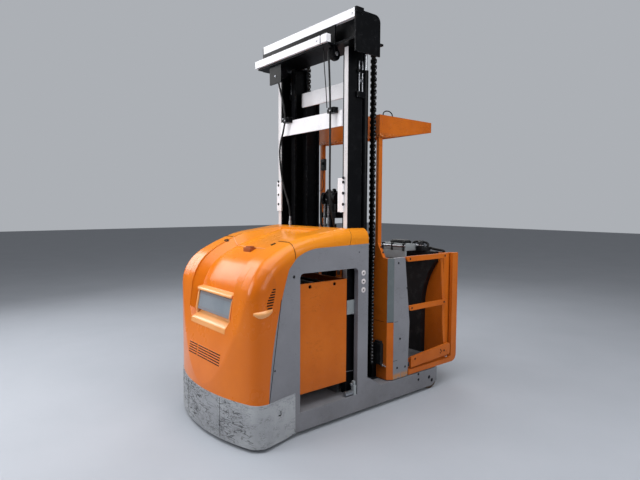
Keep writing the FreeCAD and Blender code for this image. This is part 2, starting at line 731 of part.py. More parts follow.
def legs():
    for side, sign in SIDES:
        outline = [
            (-z.skirt_end, z.ground_gap),
            (z.leg_end - 60, z.ground_gap),
            (z.leg_end, z.leg_nose_low),
            (z.leg_end, z.leg_tip),
            (z.corner_foot / 4, z.leg_neck),
            (0, z.leg_knee - 10),
            (-z.column_reach, z.leg_knee),
            (-z.column_reach, z.bay_sill),
            (-z.skirt_end, z.bay_sill),
        ]
        body = prism("xz", span_y(sign, z.leg_inner, z.half_width), outline)
        inner = (z.leg_inner + z.half_width - z.wheel_width) / 2 - z.wheel_gap
        outer = inner + z.wheel_width + z.wheel_gap * 2
        slot = z.wheel_radius + z.wheel_gap
        pocket(body, "xy", (z.ground_gap - z.overrun, z.wheel_radius * 2 + z.wheel_gap), [
            (z.wheel_reach - slot, span_y(sign, inner, outer)[0]),
            (z.leg_end + z.overrun, span_y(sign, inner, outer)[0]),
            (z.leg_end + z.overrun, span_y(sign, inner, outer)[1]),
            (z.wheel_reach - slot, span_y(sign, inner, outer)[1]),
        ])
        axle = rod("y", (z.wheel_reach, z.wheel_radius), span_y(sign, z.leg_inner, z.half_width), z.axle_radius)
        seat = rod("z", (0, z.lift_half * sign), (z.leg_knee - z.lift_foot, z.leg_knee + z.overrun), z.lift_tube)
        keep(f"leg_{side}", cut(fuse(body, axle), seat))
        tread = rod("y", (z.wheel_reach, z.wheel_radius),
                    span_y(sign, inner + z.wheel_gap, outer - z.wheel_gap), z.wheel_radius)
        bore = rod("y", (z.wheel_reach, z.wheel_radius),
                   span_y(sign, inner, outer), z.axle_radius + z.running_gap)
        keep(f"load_wheel_{side}", cut(tread, bore))


def base():
    inner = z.battery_half
    sides = z.leg_inner
    bulkhead = (-z.bulkhead, -z.bulkhead + z.bulkhead_plate)
    bridge_top = z.bridge_low + z.bridge_plate
    bed = box((-z.bulkhead, -z.roof_end), (-sides, sides), (z.plate_low, z.bed_top))
    foot = box((-z.roof_end, z.cab_front / 2), (-sides, sides), (z.plate_low, z.plate_top))
    wall = box(bulkhead, (-inner, inner), (z.bay_sill, z.bulkhead_top))
    web = box(bulkhead, (-sides, sides), (z.bed_top, z.bay_sill))
    bridge = box((-z.drive_reach - z.turntable * 0.85, -z.bulkhead), (-sides, sides), (z.bridge_low, bridge_top))
    keep("base_frame", fuse(bed, foot, wall, web, bridge))


def drive():
    """The drive wheel under its steering fork, with the motor as one plain block."""
    radius = z.drive_radius
    low = z.bridge_low - z.turntable_plate
    top = z.bridge_low + z.bridge_plate
    keep("drive_motor", rod("z", (-z.drive_reach, 0), (top, top + z.motor_height), z.motor_radius))
    plate = rod("z", (-z.drive_reach, 0), (low, z.bridge_low - z.roller_play), z.turntable)
    half = z.drive_width / 2
    inner = half + z.fork_gap
    outer = inner + z.fork_cheek
    reach = (-z.drive_reach - z.drive_width / 2, -z.drive_reach + z.drive_width / 2)
    cheeks = [box(reach, span_y(sign, inner, outer), (radius - z.drive_width / 2, low)) for sign in (-1, 1)]
    axle = rod("y", (-z.drive_reach, radius), (-outer, outer), z.drive_axle)
    keep("steering_fork", fuse(plate, *cheeks, axle))
    tyre = rod("y", (-z.drive_reach, radius), (-half, half), radius)
    bore = rod("y", (-z.drive_reach, radius), (-inner, inner), z.drive_axle + z.running_gap)
    keep("drive_wheel", cut(tyre, bore))


def battery():
    front, length = z.battery_front, z.battery_length
    low, high = z.battery_low, z.battery_low + z.battery_height
    half, wall = z.battery_half, z.tray_wall
    rear = -front + length
    outer = box((-front, rear), (-half, half), (low, high))
    inner = box((-front + wall, rear - wall), (-half + wall, half - wall), (low + wall, high + z.overrun))
    holes = [rod("y", (-front + length * share, high - z.hole_drop),
                 (-half - z.overrun, half + z.overrun), z.tray_hole) for share in (0.25, 0.74)]
    keep("battery_trough", cut(outer, inner, *holes))
    gap = wall + z.cell_gap
    keep("battery_cells", box((-front + gap, rear - gap), (-half + gap, half - gap),
                              (low + wall, high - z.cell_drop)))
    inset = z.leg_inner - wall
    rails = [box((x, x + z.rail_plate), (-inset, inset), (z.bed_top, low - z.cell_gap))
             for x in (-front, rear - z.rail_plate)]
    rollers = []
    for number in range(-2, 3):
        centre = (z.roller_pitch * number, low - z.roller_radius)
        rollers.append(rod("x", centre, (-front + z.rail_plate, rear - z.rail_plate), z.roller_radius))
    keep("roller_bed", fuse(*rails, *rollers))


def channel(face, lip, reach, low, high, sign):
    """A mast channel that opens towards the centre line."""
    wall = z.channel_wall
    rear = reach + z.channel_depth
    points = [
        (reach, face), (rear, face), (rear, lip), (rear - wall, lip),
        (rear - wall, face - wall), (reach + wall, face - wall), (reach + wall, lip), (reach, lip),
    ]
    outline = [(u, v * sign) for u, v in points]
    return prism("xy", (low, high), outline)


def stage_rollers(reach, inside, outside, heights, sign):
    """The rollers that run in the next channel out."""
    radius = z.channel_depth / 2 - z.channel_wall - z.roller_play
    middle = reach + z.channel_depth / 2
    return [rod("y", (middle, height), span_y(sign, inside, outside), radius) for height in heights]


def mast():
    outer_reach = -z.mast_front
    middle_reach = outer_reach + z.stage_step
    inner_reach = middle_reach + z.stage_step
    wall = z.channel_wall
    play = z.roller_play * 5
    for side, sign in SIDES:
        rail = channel(z.outer_face, z.outer_lip, outer_reach, z.bay_sill, z.outer_top, sign)
        keep(f"outer_rail_{side}", rail)
        rail = channel(z.middle_face, z.middle_lip, middle_reach, z.middle_low, z.middle_top, sign)
        rollers = stage_rollers(outer_reach, z.middle_face, z.outer_face - wall - play,
                                (z.middle_low + 90, z.middle_low + 600), sign)
        keep(f"middle_rail_{side}", fuse(rail, *rollers))
        rail = channel(z.inner_face, z.inner_lip, inner_reach, z.inner_low, z.inner_top, sign)
        rollers = stage_rollers(middle_reach, z.inner_face, z.middle_face - wall - play,
                                (z.inner_low + 90, z.inner_low + 600), sign)
        keep(f"inner_rail_{side}", fuse(rail, *rollers))
    front = outer_reach - z.tie_plate
    tie = box((front, outer_reach), (-z.tie_half, z.tie_half), (z.tie_low, z.tie_high))
    brackets = [box((front, outer_reach), span_y(sign, inner, inner + z.bracket_width),
                    (z.bracket_low, z.bracket_high)) for sign, inner in ((-1, z.bracket_near), (1, z.bracket_far))]
    keep("outer_mast_plates", group(tie, *brackets))
    clamps = [box((front - z.clamp_depth, front), (y - z.clamp_half, y + z.clamp_half),
                  (z.tie_high - z.clamp_drop, z.tie_high + z.clamp_rise))
              for y in (-z.clamp_near, z.clamp_far)]
    keep("hose_clamps", group(*clamps))
    tie = box((inner_reach - z.tie_plate, inner_reach), (-z.inner_face, z.inner_face),
              (z.inner_tie_low, z.inner_tie_high))
    foot = box((inner_reach, z.free_reach + z.free_tube + 10), (-z.inner_lip, z.inner_lip),
               (z.inner_low, z.inner_low + z.bridge_plate))
    keep("inner_cross_plates", group(tie, foot))


def cylinders():
    """The lift cylinders beside the mast and the centre cylinder with its crosshead."""
    tubes = []
    rods = []
    foot = z.leg_knee - z.lift_foot
    for side, sign in SIDES:
        centre = (0, z.lift_half * sign)
        bore = z.lift_rod + z.running_gap
        tube = cut(rod("z", centre, (foot, z.lift_top), z.lift_tube),
                   rod("z", centre, (foot + z.lift_foot, z.lift_top + z.overrun), bore))
        tubes.append(tube)
        rods.append(rod("z", centre, (foot + z.lift_foot * 2, z.middle_top), z.lift_rod))
    keep("lift_cylinders", group(*tubes))
    keep("lift_rods", group(*rods))
    centre = (z.free_reach, 0)
    floor = z.inner_low + z.bridge_plate
    bore = z.free_rod + z.running_gap
    tube = cut(rod("z", centre, (floor, z.free_top), z.free_tube),
               rod("z", centre, (floor + z.bridge_plate, z.free_top + z.overrun), bore))
    keep("centre_cylinder", tube)
    piston = rod("z", centre, (floor + z.bridge_plate * 2, z.cross_low), z.free_rod)
    reach = z.yoke_depth
    top = z.cross_low + z.yoke_height
    yoke = box((z.free_reach - reach, z.free_reach + reach), (-z.yoke_half, z.yoke_half), (z.cross_low, top))
    inner = z.yoke_gap
    outer = inner + z.cheek_plate
    cheeks = [box((z.free_reach - reach * 0.75, z.free_reach + reach * 0.75), span_y(sign, inner, outer),
                  (top, z.cross_low + z.yoke_rise)) for sign in (-1, 1)]
    axle = (z.free_reach, z.cross_low + z.yoke_rise - z.cheek_plate)
    wheels = [rod("y", axle, span_y(sign, outer, outer + z.cross_width), z.cross_wheel) for sign in (-1, 1)]
    shaft = rod("y", axle, (-outer, outer), z.axle_radius)
    keep("crosshead", fuse(piston, yoke, *cheeks, *wheels, shaft))


def head():
    """The mast head that rises with the middle stage."""
    low = z.middle_top
    top = z.bar_low
    half = z.head_half - z.cheek_plate
    front = -z.head_front
    cheeks = []
    for sign, foot in ((-1, z.cheek_low), (1, low)):
        cheek = prism("xz", span_y(sign, half, z.head_half), [
            (front, foot),
            (-z.head_rear, foot),
            (-z.head_rear, z.head_top),
            (front, z.head_top),
        ])
        cheeks.append(round_edges(cheek, z.head_round, at_corner([(-z.head_rear, z.head_top)], "y")))
    lug = box((front, front + z.lug_length), span_y(-1, half, z.head_half + z.cheek_plate / 2),
              (z.head_top - z.lug_drop, z.head_top + z.lug_rise))
    keep("head_cheeks", group(fuse(cheeks[0], lug), cheeks[1]))
    inner_front = -z.mast_front + z.stage_step * 2 - z.tie_plate
    near_end = -z.bar_near - z.block_gap - z.block_width
    deck = box((front, inner_front - z.head_gap), (-half, half), (low, top))
    shelf = box((-z.bar_front, front), (near_end, half), (low, top))
    screen = box((front, front + z.cheek_plate), (near_end, half), (top, z.beam_low))
    recess = front + z.pulley_radius
    back = box((recess, recess + z.cheek_plate), (-half, near_end), (top, z.beam_low))
    hang = -z.bar_front + z.bar_depth
    plate = box((hang, hang + z.cheek_plate), (z.ear_inner, z.ear_outer), (z.ear_low, low))
    ears = [box((-z.mast_front + z.stage_step, -z.mast_front + z.stage_step + z.channel_depth),
                span_y(sign, z.inner_face + z.head_gap, half), (low, top)) for sign in (-1, 1)]
    keep("head_deck", fuse(deck, shelf, screen, back, plate, *ears))
    keep("head_beam", box((front, front + z.beam_depth), (-half, half), (z.beam_low, z.beam_top)))
    face = -z.bar_front
    bar = box((face - z.bar_depth, face), (-z.bar_near, z.head_half), (z.bar_low, z.bar_top))
    block = box((face - z.bar_depth, face + z.bar_depth), (near_end, near_end + z.block_width),
                (z.bar_low, z.bar_top))
    keep("head_bar", group(bar, block))


def chains():
    """Each lift chain falls from its head pulley to the foot of the inner stage."""
    middle = z.chain_reach - z.pulley_radius
    deck = z.bar_low
    side_gap = z.cheek_plate / 2
    axis = deck + z.pulley_radius + z.cheek_plate
    low = z.leg_knee + z.overrun
    inside, outside = z.pulley_half - z.chain_width / 2, z.pulley_half + z.chain_width / 2
    plate = z.chain_width / 5
    strands = []
    pulleys = []
    for side, sign in SIDES:
        wheel = rod("y", (middle, axis), span_y(sign, inside - side_gap, outside + side_gap), z.pulley_radius)
        bearer = box((middle - z.axle_radius, middle + z.axle_radius),
                     span_y(sign, inside - side_gap * 3, inside - side_gap), (deck, axis))
        pulleys.append(fuse(wheel, bearer))
        x = z.chain_reach
        core = box((x, x + z.chain_depth), span_y(sign, inside + plate, outside - plate), (low, axis))
        links = []
        count = int((axis.value - low.value) / z.chain_pitch.value)
        for number in range(count):
            start = low + z.chain_pitch * number
            links.append(box((x - 1, x + z.chain_depth + 1), span_y(sign, inside, outside),
                             (start, start + z.chain_pitch * 0.6)))
        strands.append(fuse(core, *links))
        spot = (-z.sheave_reach, z.sheave_height)
        half = z.sheave_width / 2
        sheave = rod("y", spot, span_y(sign, z.sheave_half - half, z.sheave_half + half), z.sheave_radius)
        hanger = box((-z.sheave_reach - z.axle_radius, -z.sheave_reach + z.axle_radius),
                     span_y(sign, z.sheave_half + half, z.sheave_half + z.sheave_width),
                     (z.sheave_height - z.axle_radius, z.middle_top))
        pulleys.append(fuse(sheave, hanger))
    keep("head_pulleys", group(*pulleys))
    keep("lift_chains", group(*strands))


def cabin():
    low, high = z.cab_low, z.cab_top
    half = z.cab_half
    thick = z.corner_thick
    front = z.cab_front
    rear = front + z.cab_wall
    sill = low + z.sill_height
    post_face = half - z.post_inset
    keep("cab_floor", box((rear, z.fore_wall), (-post_face, post_face), (low, z.cab_floor)))
    margin = z.mat_margin
    keep("floor_mat", box((rear + margin, z.fore_wall - z.pedestal_depth - margin),
                          (-post_face + margin, post_face - margin), (z.cab_floor, z.cab_floor + z.mat_thick)))
    mast_wall = prism("yz", (front, rear), [
        (-half + thick, low), (half - thick, low), (half - thick, high), (-half + thick, high)])
    corners = [prism("xy", (low, z.seam_height), [
        (front, (half - thick) * sign), (z.corner_start, half * sign), (z.corner_start, (half - thick) * sign)])
        for sign in (-1, 1)]
    keep("mast_side_wall", fuse(mast_wall, *corners))
    keep("fork_side_wall", box((z.fore_wall, z.fore_wall + z.fork_wall), (-post_face, post_face), (low, high)))
    panels = []
    posts = []
    for side, sign in SIDES:
        panel = prism("xz", span_y(sign, half - thick, half), [
            (z.corner_start, low),
            (z.corner_foot, low),
            (z.corner_waist, z.waist_height),
            (z.corner_head, high),
            (z.corner_start, high),
        ])
        wrap = prism("xy", (z.seam_height, high), [
            (front, (half - thick) * sign), (z.corner_start, half * sign), (z.corner_start, (half - thick) * sign)])
        panels.append(fuse(panel, wrap))
        inside = z.cab_end - z.post_face
        post = prism("xz", span_y(sign, half - thick, z.gate_out), [
            (z.corner_waist, low),
            (z.cab_end, low),
            (z.cab_end, high),
            (inside, high),
            (inside, sill),
            (z.corner_waist, sill),
        ])
        round_edges(post, z.post_corner, at_corner([(z.cab_end, low)], "y"))
        round_edges(post, z.post_crook, at_corner([(inside, sill)], "y"))
        rear_face = z.cab_end - z.post_lap
        web = box((inside - z.post_face, rear_face), span_y(sign, post_face, half - z.post_web), (z.cab_floor, high))
        tie = box((inside + z.post_lap, rear_face), span_y(sign, half - z.post_web, half - thick), (z.cab_floor, high))
        posts.append(fuse(post, web, tie))
    keep("corner_panels", group(*panels))
    keep("fork_side_posts", group(*posts))
    sills = [box((rear, z.fore_wall), span_y(sign, post_face, half - thick), (low, z.cab_floor))
             for sign in (-1, 1)]
    keep("cab_sills", group(*sills))


def carriage():
    """The slide that carries the cabin on the inner stage."""
    inner_reach = -z.mast_front + z.stage_step * 2
    play = z.roller_play * 5
    low = z.cab_floor + z.sill_height
    plate = z.inner_lip - play * 4
    inside = plate - z.slide_plate
    back = z.cab_front - z.slide_depth
    pieces = []
    for side, sign in SIDES:
        pieces.append(box((z.slide_reach, z.cab_front), span_y(sign, inside, plate), (low, low + z.slide_height)))
        pieces.append(box((z.cab_front - z.slide_plate, z.cab_front), span_y(sign, inside, z.inner_face + play * 4),
                          (low, z.cab_top + z.slide_rise)))
        heights = (low + z.slide_bar, low + z.slide_height - z.slide_bar)
        pieces.extend(stage_rollers(inner_reach, plate, z.inner_face - z.channel_wall - play, heights, sign))
        pieces.append(box((back, z.cab_front), span_y(sign, plate, z.middle_face), (z.cab_low, low + z.slide_foot)))
    for height in (low, low + z.slide_height - z.slide_bar):
        pieces.append(box((back, z.cab_front), (-plate, plate), (height, height + z.slide_bar)))
    keep("cabin_carriage", fuse(*pieces))


def gates():
    """Side gates whose rails stay parallel as they swing up."""
    bearers = []
    half = z.cab_half
    inner = half - z.corner_thick - z.corner_plate
    tall = z.rail_half
    toe_rear = z.gate_rear + z.toe_lean
    rows = (("upper", z.gate_top, z.gate_rear), ("middle", z.gate_mid, z.gate_rear + z.gate_lean),
            ("lower", z.gate_toe, toe_rear))
    for side, sign in SIDES:
        span = span_y(sign, z.gate_in, z.gate_out)
        pins = []
        for name, height, rear in rows:
            front = rear + z.gate_span
            past = z.rail_end if name == "upper" else z.rail_half / 2
            tip = front + z.toe_front
            if name == "lower":
                rail = prism("xz", span, [
                    (rear - z.toe_back, height - z.toe_rear_low), (tip, height - z.toe_front_low),
                    (tip, height + z.toe_front_high), (rear - z.toe_back, height + z.toe_rear_high)])
                corners = [(tip, height - z.toe_front_low), (tip, height + z.toe_front_high)]
                round_edges(rail, tall, at_corner(corners, "y"))
            else:
                rail = prism("xz", span, [
                    (rear - tall, height - tall), (front + past, height - tall),
                    (front + past, height + tall), (rear - tall, height + tall)])
                ends = [(rear - tall, height - tall), (rear - tall, height + tall)]
                round_edges(rail, tall - 1, at_corner(ends, "y"))
            holes = [rod("y", (at, height), span_y(sign, z.gate_in - z.overrun, z.gate_out + z.overrun),
                         z.pin_radius + z.running_gap) for at in (rear, front)]
            keep(f"gate_{name}_{side}", cut(rail, *holes))
            pins.append(rod("y", (rear, height), span_y(sign, inner, z.gate_out + 1), z.pin_radius))
        top, low = z.gate_top, z.gate_toe
        reach = z.bearer_reach
        depth = span_y(sign, inner, half - z.corner_thick)
        bar = box((reach, reach + z.bearer_width), depth, (low - tall, top + z.axle_radius))
        arms = [box((reach, rear + z.axle_radius), depth, (height - z.axle_radius, height + z.axle_radius))
                for name, height, rear in rows]
        bearers.append(fuse(bar, *arms, *pins))
        first, second, third = [rear + z.gate_span for name, height, rear in rows]
        thin = tall * 2 / 3
        bow = z.link_bow
        link = prism("xz", span_y(sign, z.gate_in - z.link_gap - z.link_plate, z.gate_in - z.link_gap), [
            (first - thin, top + z.axle_radius), (second - thin, z.gate_mid, -bow),
            (third - thin, low - z.axle_radius), (third + thin, low - z.axle_radius, bow),
            (second + thin, z.gate_mid), (first + thin, top + z.axle_radius)])
        links = [rod("y", (rear + z.gate_span, height),
                     span_y(sign, z.gate_in - z.link_gap - z.link_plate, z.gate_out + 1), z.pin_radius)
                 for name, height, rear in rows]
        keep(f"gate_link_{side}", fuse(link, *links))
    keep("gate_bearers", group(*bearers))


def guard():
    """The overhead guard on its two posts."""
    plate = z.guard_frame
    half = z.guard_half
    posts = []
    for side, sign in SIDES:
        post = box((z.post_rear, z.post_rear + z.post_depth),
                   span_y(sign, z.post_inner, z.post_inner + z.post_width), (z.cab_top, z.guard_drop))
        foot = prism("yz", (z.post_rear, z.post_rear + z.cab_wall), [
            (z.post_inner * sign, z.cab_top),
            ((z.post_inner + z.post_width + z.foot_flare) * sign, z.cab_top),
            ((z.post_inner + z.post_width) * sign, z.cab_top + z.foot_rise),
            (z.post_inner * sign, z.cab_top + z.foot_rise)])
        posts.append(fuse(post, foot))
    keep("guard_posts", group(*posts))
    pieces = []
    for sign in (-1, 1):
        pieces.append(prism("xz", span_y(sign, half - plate, half), [
            (z.guard_rear, z.guard_drop), (z.guard_rear + z.guard_haunch, z.guard_drop),
            (z.guard_front, z.guard_low), (z.guard_front, z.guard_top), (z.guard_rear, z.guard_top)]))
    pieces.append(box((z.guard_rear, z.guard_rear + plate), (-half, half), (z.guard_drop, z.guard_top)))
    pieces.append(box((z.guard_rear, z.guard_rear + z.guard_plate), (-half, half), (z.guard_top - plate, z.guard_top)))
    pieces.append(box((z.guard_front - plate, z.guard_front), (-half, half), (z.guard_low, z.guard_top)))
    count = 9
    first = z.guard_rear + z.guard_plate
    pitch = (z.guard_front - plate - first) / (count + 1)
    for number in range(1, count + 1):
        x = first + pitch * number
        pieces.append(box((x - z.guard_slat / 2, x + z.guard_slat / 2), (-half, half),
                          (z.guard_top - z.slat_depth, z.guard_top)))
    keep("overhead_guard", fuse(*pieces))


def controls():
    wall = z.fore_wall
    low, high = z.cab_floor, z.desk_low
    waist = (low + high) / 2
    foot, head = z.pedestal_foot, z.pedestal_head
    neck = high - z.pedestal_drop
    swell = z.pedestal_swell
    pedestal = prism("yz", (wall - z.pedestal_depth, wall), [
        (-foot, low), (foot, low), (foot, waist, swell), (head, neck), (head, high),
        (-head, high), (-head, neck, swell), (-foot, waist)])
    keep("console", pedestal)
    desk = box((wall - z.desk_depth, wall + z.desk_lap), (-z.desk_half, z.desk_half), (z.desk_low, z.desk_top))
    rear = wall - z.display_gap
    display = box((rear - z.display_depth, rear), (-z.display_near, z.display_far),
                  (z.desk_top, z.desk_top + z.display_height))
    knob = rod("z", (wall - z.knob_reach, z.knob_side), (z.desk_top, z.desk_top + z.knob_height), z.knob_radius)
    keep("control_desk", fuse(desk, display, knob))


def fork_carriage():
    """The carriage on the fork side; the forks are off it."""
    low = z.cab_floor + z.guard_frame
    bars = [box((z.cab_end, z.fork_reach), (-z.fork_half, z.fork_half), (height, height + z.fork_bar))
            for height in (low, low + z.fork_rise)]
    arms = [box((z.fore_wall + z.fork_wall, z.cab_end), span_y(sign, z.fork_arm - z.cab_wall, z.fork_arm),
                (low, low + z.fork_rise + z.fork_bar)) for sign in (-1, 1)]
    keep("fork_carriage", fuse(*bars, *arms))


skirt()
covers()
badge()
side_frames()
legs()
base()
drive()
battery()
mast()
cylinders()
head()
chains()
cabin()
carriage()
gates()
guard()
controls()
fork_carriage()
doc.recompute()

broken = [f"{thing.Name} of {[user.Label for user in thing.InList]}" for thing in doc.Objects
          if "Invalid" in thing.State or "Error" in thing.State]
if broken:
    raise RuntimeError(f"failed objects: {broken}")
for node, piece in nodes.items():
    if piece.Shape.isNull() or not piece.Shape.isValid() or not piece.Shape.Solids:
        raise RuntimeError(f"{node} has no valid solid")

os.makedirs("parts", exist_ok=True)
for node, piece in nodes.items():
    piece.Shape.exportStep(f"parts/{node}.step")
    print(node, len(piece.Shape.Solids), round(piece.Shape.Volume / 1e6, 3))
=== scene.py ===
import json
import math

import bmesh
import bpy
from mathutils import Matrix, Vector
from mathutils.bvhtree import BVHTree


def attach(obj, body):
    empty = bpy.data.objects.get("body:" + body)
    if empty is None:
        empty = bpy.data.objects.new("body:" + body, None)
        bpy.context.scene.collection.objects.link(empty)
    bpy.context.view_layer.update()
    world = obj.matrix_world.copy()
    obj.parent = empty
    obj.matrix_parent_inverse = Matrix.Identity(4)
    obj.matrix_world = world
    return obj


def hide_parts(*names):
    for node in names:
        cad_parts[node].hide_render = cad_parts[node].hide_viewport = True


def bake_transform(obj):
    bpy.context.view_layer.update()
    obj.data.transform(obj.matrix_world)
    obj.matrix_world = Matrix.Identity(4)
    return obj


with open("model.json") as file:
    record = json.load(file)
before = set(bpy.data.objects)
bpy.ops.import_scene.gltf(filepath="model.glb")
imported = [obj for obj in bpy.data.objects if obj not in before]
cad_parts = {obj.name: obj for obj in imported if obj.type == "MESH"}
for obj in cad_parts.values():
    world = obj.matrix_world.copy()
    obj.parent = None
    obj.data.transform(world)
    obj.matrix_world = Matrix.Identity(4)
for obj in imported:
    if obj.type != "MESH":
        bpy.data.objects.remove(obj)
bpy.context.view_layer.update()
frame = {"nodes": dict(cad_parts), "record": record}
nodes = frame["nodes"]
print("frame loaded")

photo = {
    "size": (640, 480),
    "focalPixels": 496.0,
    "sensor": 36.0,
    "place": (-2.61, -3.095, 1.55),
    "yaw": 50.8,
    "pitch": 3.97,
    "roll": 0.0045,  # radians
    "clip": 100,
}


def addCamera():
    data = bpy.data.cameras.new("camera")
    data.sensor_width = photo["sensor"]
    data.lens = photo["focalPixels"] * photo["sensor"] / photo["size"][0]
    data.clip_end = photo["clip"]
    camera = bpy.data.objects.new("camera", data)
    yaw, pitch = math.radians(photo["yaw"]), math.radians(photo["pitch"])
    look = Vector((math.cos(yaw) * math.cos(pitch), math.sin(yaw) * math.cos(pitch), -math.sin(pitch)))
    turn = look.to_track_quat("-Z", "Y").to_matrix() @ Matrix.Rotation(photo["roll"], 3, "Z")
    camera.matrix_world = Matrix.Translation(photo["place"]) @ turn.to_4x4()
    bpy.context.scene.collection.objects.link(camera)
    bpy.context.scene.camera = camera


addCamera()


# The renderer's linear values of a colour written as a hex triple.
def srgb(text):
    parts = [int(text[i:i + 2], 16) / 255 for i in (1, 3, 5)]
    linear = [p / 12.92 if p <= 0.04045 else ((p + 0.055) / 1.055) ** 2.4 for p in parts]
    return (*linear, 1.0)


# A material under construction.
class Paint:
    def __init__(self, name):
        self.material = bpy.data.materials.new(name)
        self.material.use_nodes = True
        self.tree = self.material.node_tree
        self.shader = self.tree.nodes["Principled BSDF"]
        self.place = self.node("TexCoord", out="Object")
        self.normal = None

    def fill(self, socket, value):
        if isinstance(value, bpy.types.NodeSocket):
            self.tree.links.new(value, socket)
        else:
            socket.default_value = value

    # Adds a node, its inputs given by name or as a list in the order of its open sockets.
    def node(self, kind, inputs=(), out=None, **settings):
        made = self.tree.nodes.new("ShaderNode" + kind)
        for key, value in settings.items():
            setattr(made, key, value)
        if isinstance(inputs, dict):
            pairs = [(made.inputs[name], value) for name, value in inputs.items()]
        else:
            pairs = zip([socket for socket in made.inputs if socket.enabled], inputs)
        for socket, value in pairs:
            self.fill(socket, value)
        return made.outputs[out] if out else next(socket for socket in made.outputs if socket.enabled)

    # A colour laid over the tone where all the masks are high.
    def lay(self, tone, colour, *masks):
        factor = masks[0]
        for mask in masks[1:]:
            factor = self.node("Math", [factor, mask], operation="MULTIPLY")
        return self.node("Mix", [factor, tone, srgb(colour)], data_type="RGBA")

    # A mask that rises between two places on an axis, on both sides of the truck if asked.
    def fade(self, letter, start, end, both=False):
        place = self.node("SeparateXYZ", [self.place], letter)
        if both:
            place = self.node("Math", [place], operation="ABSOLUTE")
        return self.node("MapRange", [place, start, end])

    # A mask of cloudy blots, from noise cut between two of its levels.
    def blots(self, scale, detail, rough, low, high):
        inputs = {"Vector": self.place, "Scale": scale, "Detail": detail, "Roughness": rough}
        return self.node("MapRange", [self.node("TexNoise", inputs), low, high])

    # Thin broken lines: the contour of one noise where another one is high.
    def scratches(self, scale, stretch, width, cover, turn=(0.0, 0.0, 0.0)):
        place = self.node("Mapping", {"Vector": self.place, "Rotation": turn, "Scale": stretch})
        lines = self.node("TexNoise", {"Vector": place, "Scale": scale, "Detail": 2.0, "Roughness": 0.5,
                                       "Distortion": 0.6})
        close = self.node("Math", [lines, 0.5], operation="SUBTRACT")
        close = self.node("Math", [close], operation="ABSOLUTE")
        thin = self.node("MapRange", [close, width * 0.4, width, 1.0, 0.0])
        where = self.blots(scale * 0.35, 2.0, 0.6, cover, cover + 0.08)
        return self.node("Math", [thin, where], operation="MULTIPLY")

    # Rounds the edges in the shading and gives a mask of them.
    def edges(self, radius):
        self.normal = self.node("Bevel", {"Radius": radius}, samples=4)
        plain = self.node("NewGeometry", out="Normal")
        turn = self.node("VectorMath", [self.normal, plain], "Value", operation="DOT_PRODUCT")
        return self.node("MapRange", [turn, 0.995, 0.93])

    def bump(self, height, strength, distance):
        inputs = {"Height": height, "Strength": strength, "Distance": distance}
        if self.normal is not None:
            inputs["Normal"] = self.normal
        self.normal = self.node("Bump", inputs)

    def finish(self, colour, roughness, metallic=0.0, coat=0.0, shine=0.22):
        inputs = self.shader.inputs
        self.fill(inputs["Base Color"], colour)
        self.fill(inputs["Roughness"], roughness)
        inputs["Metallic"].default_value = metallic
        inputs["Coat Weight"].default_value = coat
        inputs["Coat Roughness"].default_value = 0.14
        inputs["Specular IOR Level"].default_value = 0.5 if metallic else shine
        if self.normal is not None:
            self.fill(inputs["Normal"], self.normal)
        return self.material


# Noise cells in a metre, worked out from the real size of each pattern.
cells = {
    "cloud": 2.2,  # 450 mm, slow changes of tone over a panel
    "dulled": 24.0,  # 40 mm, patches dulled by wiping
    "scratch": 16.0,  # 60 mm, handling scratches up the panels
    "crossScratch": 26.0,  # 40 mm, shorter ones across them
    "chips": 60.0,  # 17 mm, breaks in the rubbed edges
    "splash": 7.0,  # 140 mm, dirt near the floor
    "peel": 320,  # 3 mm, orange peel, coarser than the real 1 mm so that it shows
    "hoodPeel": 420,  # 2.4 mm, the hood is sprayed finer
    "blackPeel": 200,  # 5 mm, thick black paint on rolled steel, drawn coarse
    "steelLines": 90.0,  # 11 mm across the grain, drawn coarse
    "oilSpots": 18.0,  # 55 mm
    "plasticCloud": 5.0,  # 200 mm
    "dust": 11.0,  # 90 mm
    "leather": 600,  # 1.7 mm, grain of moulded plastic
}


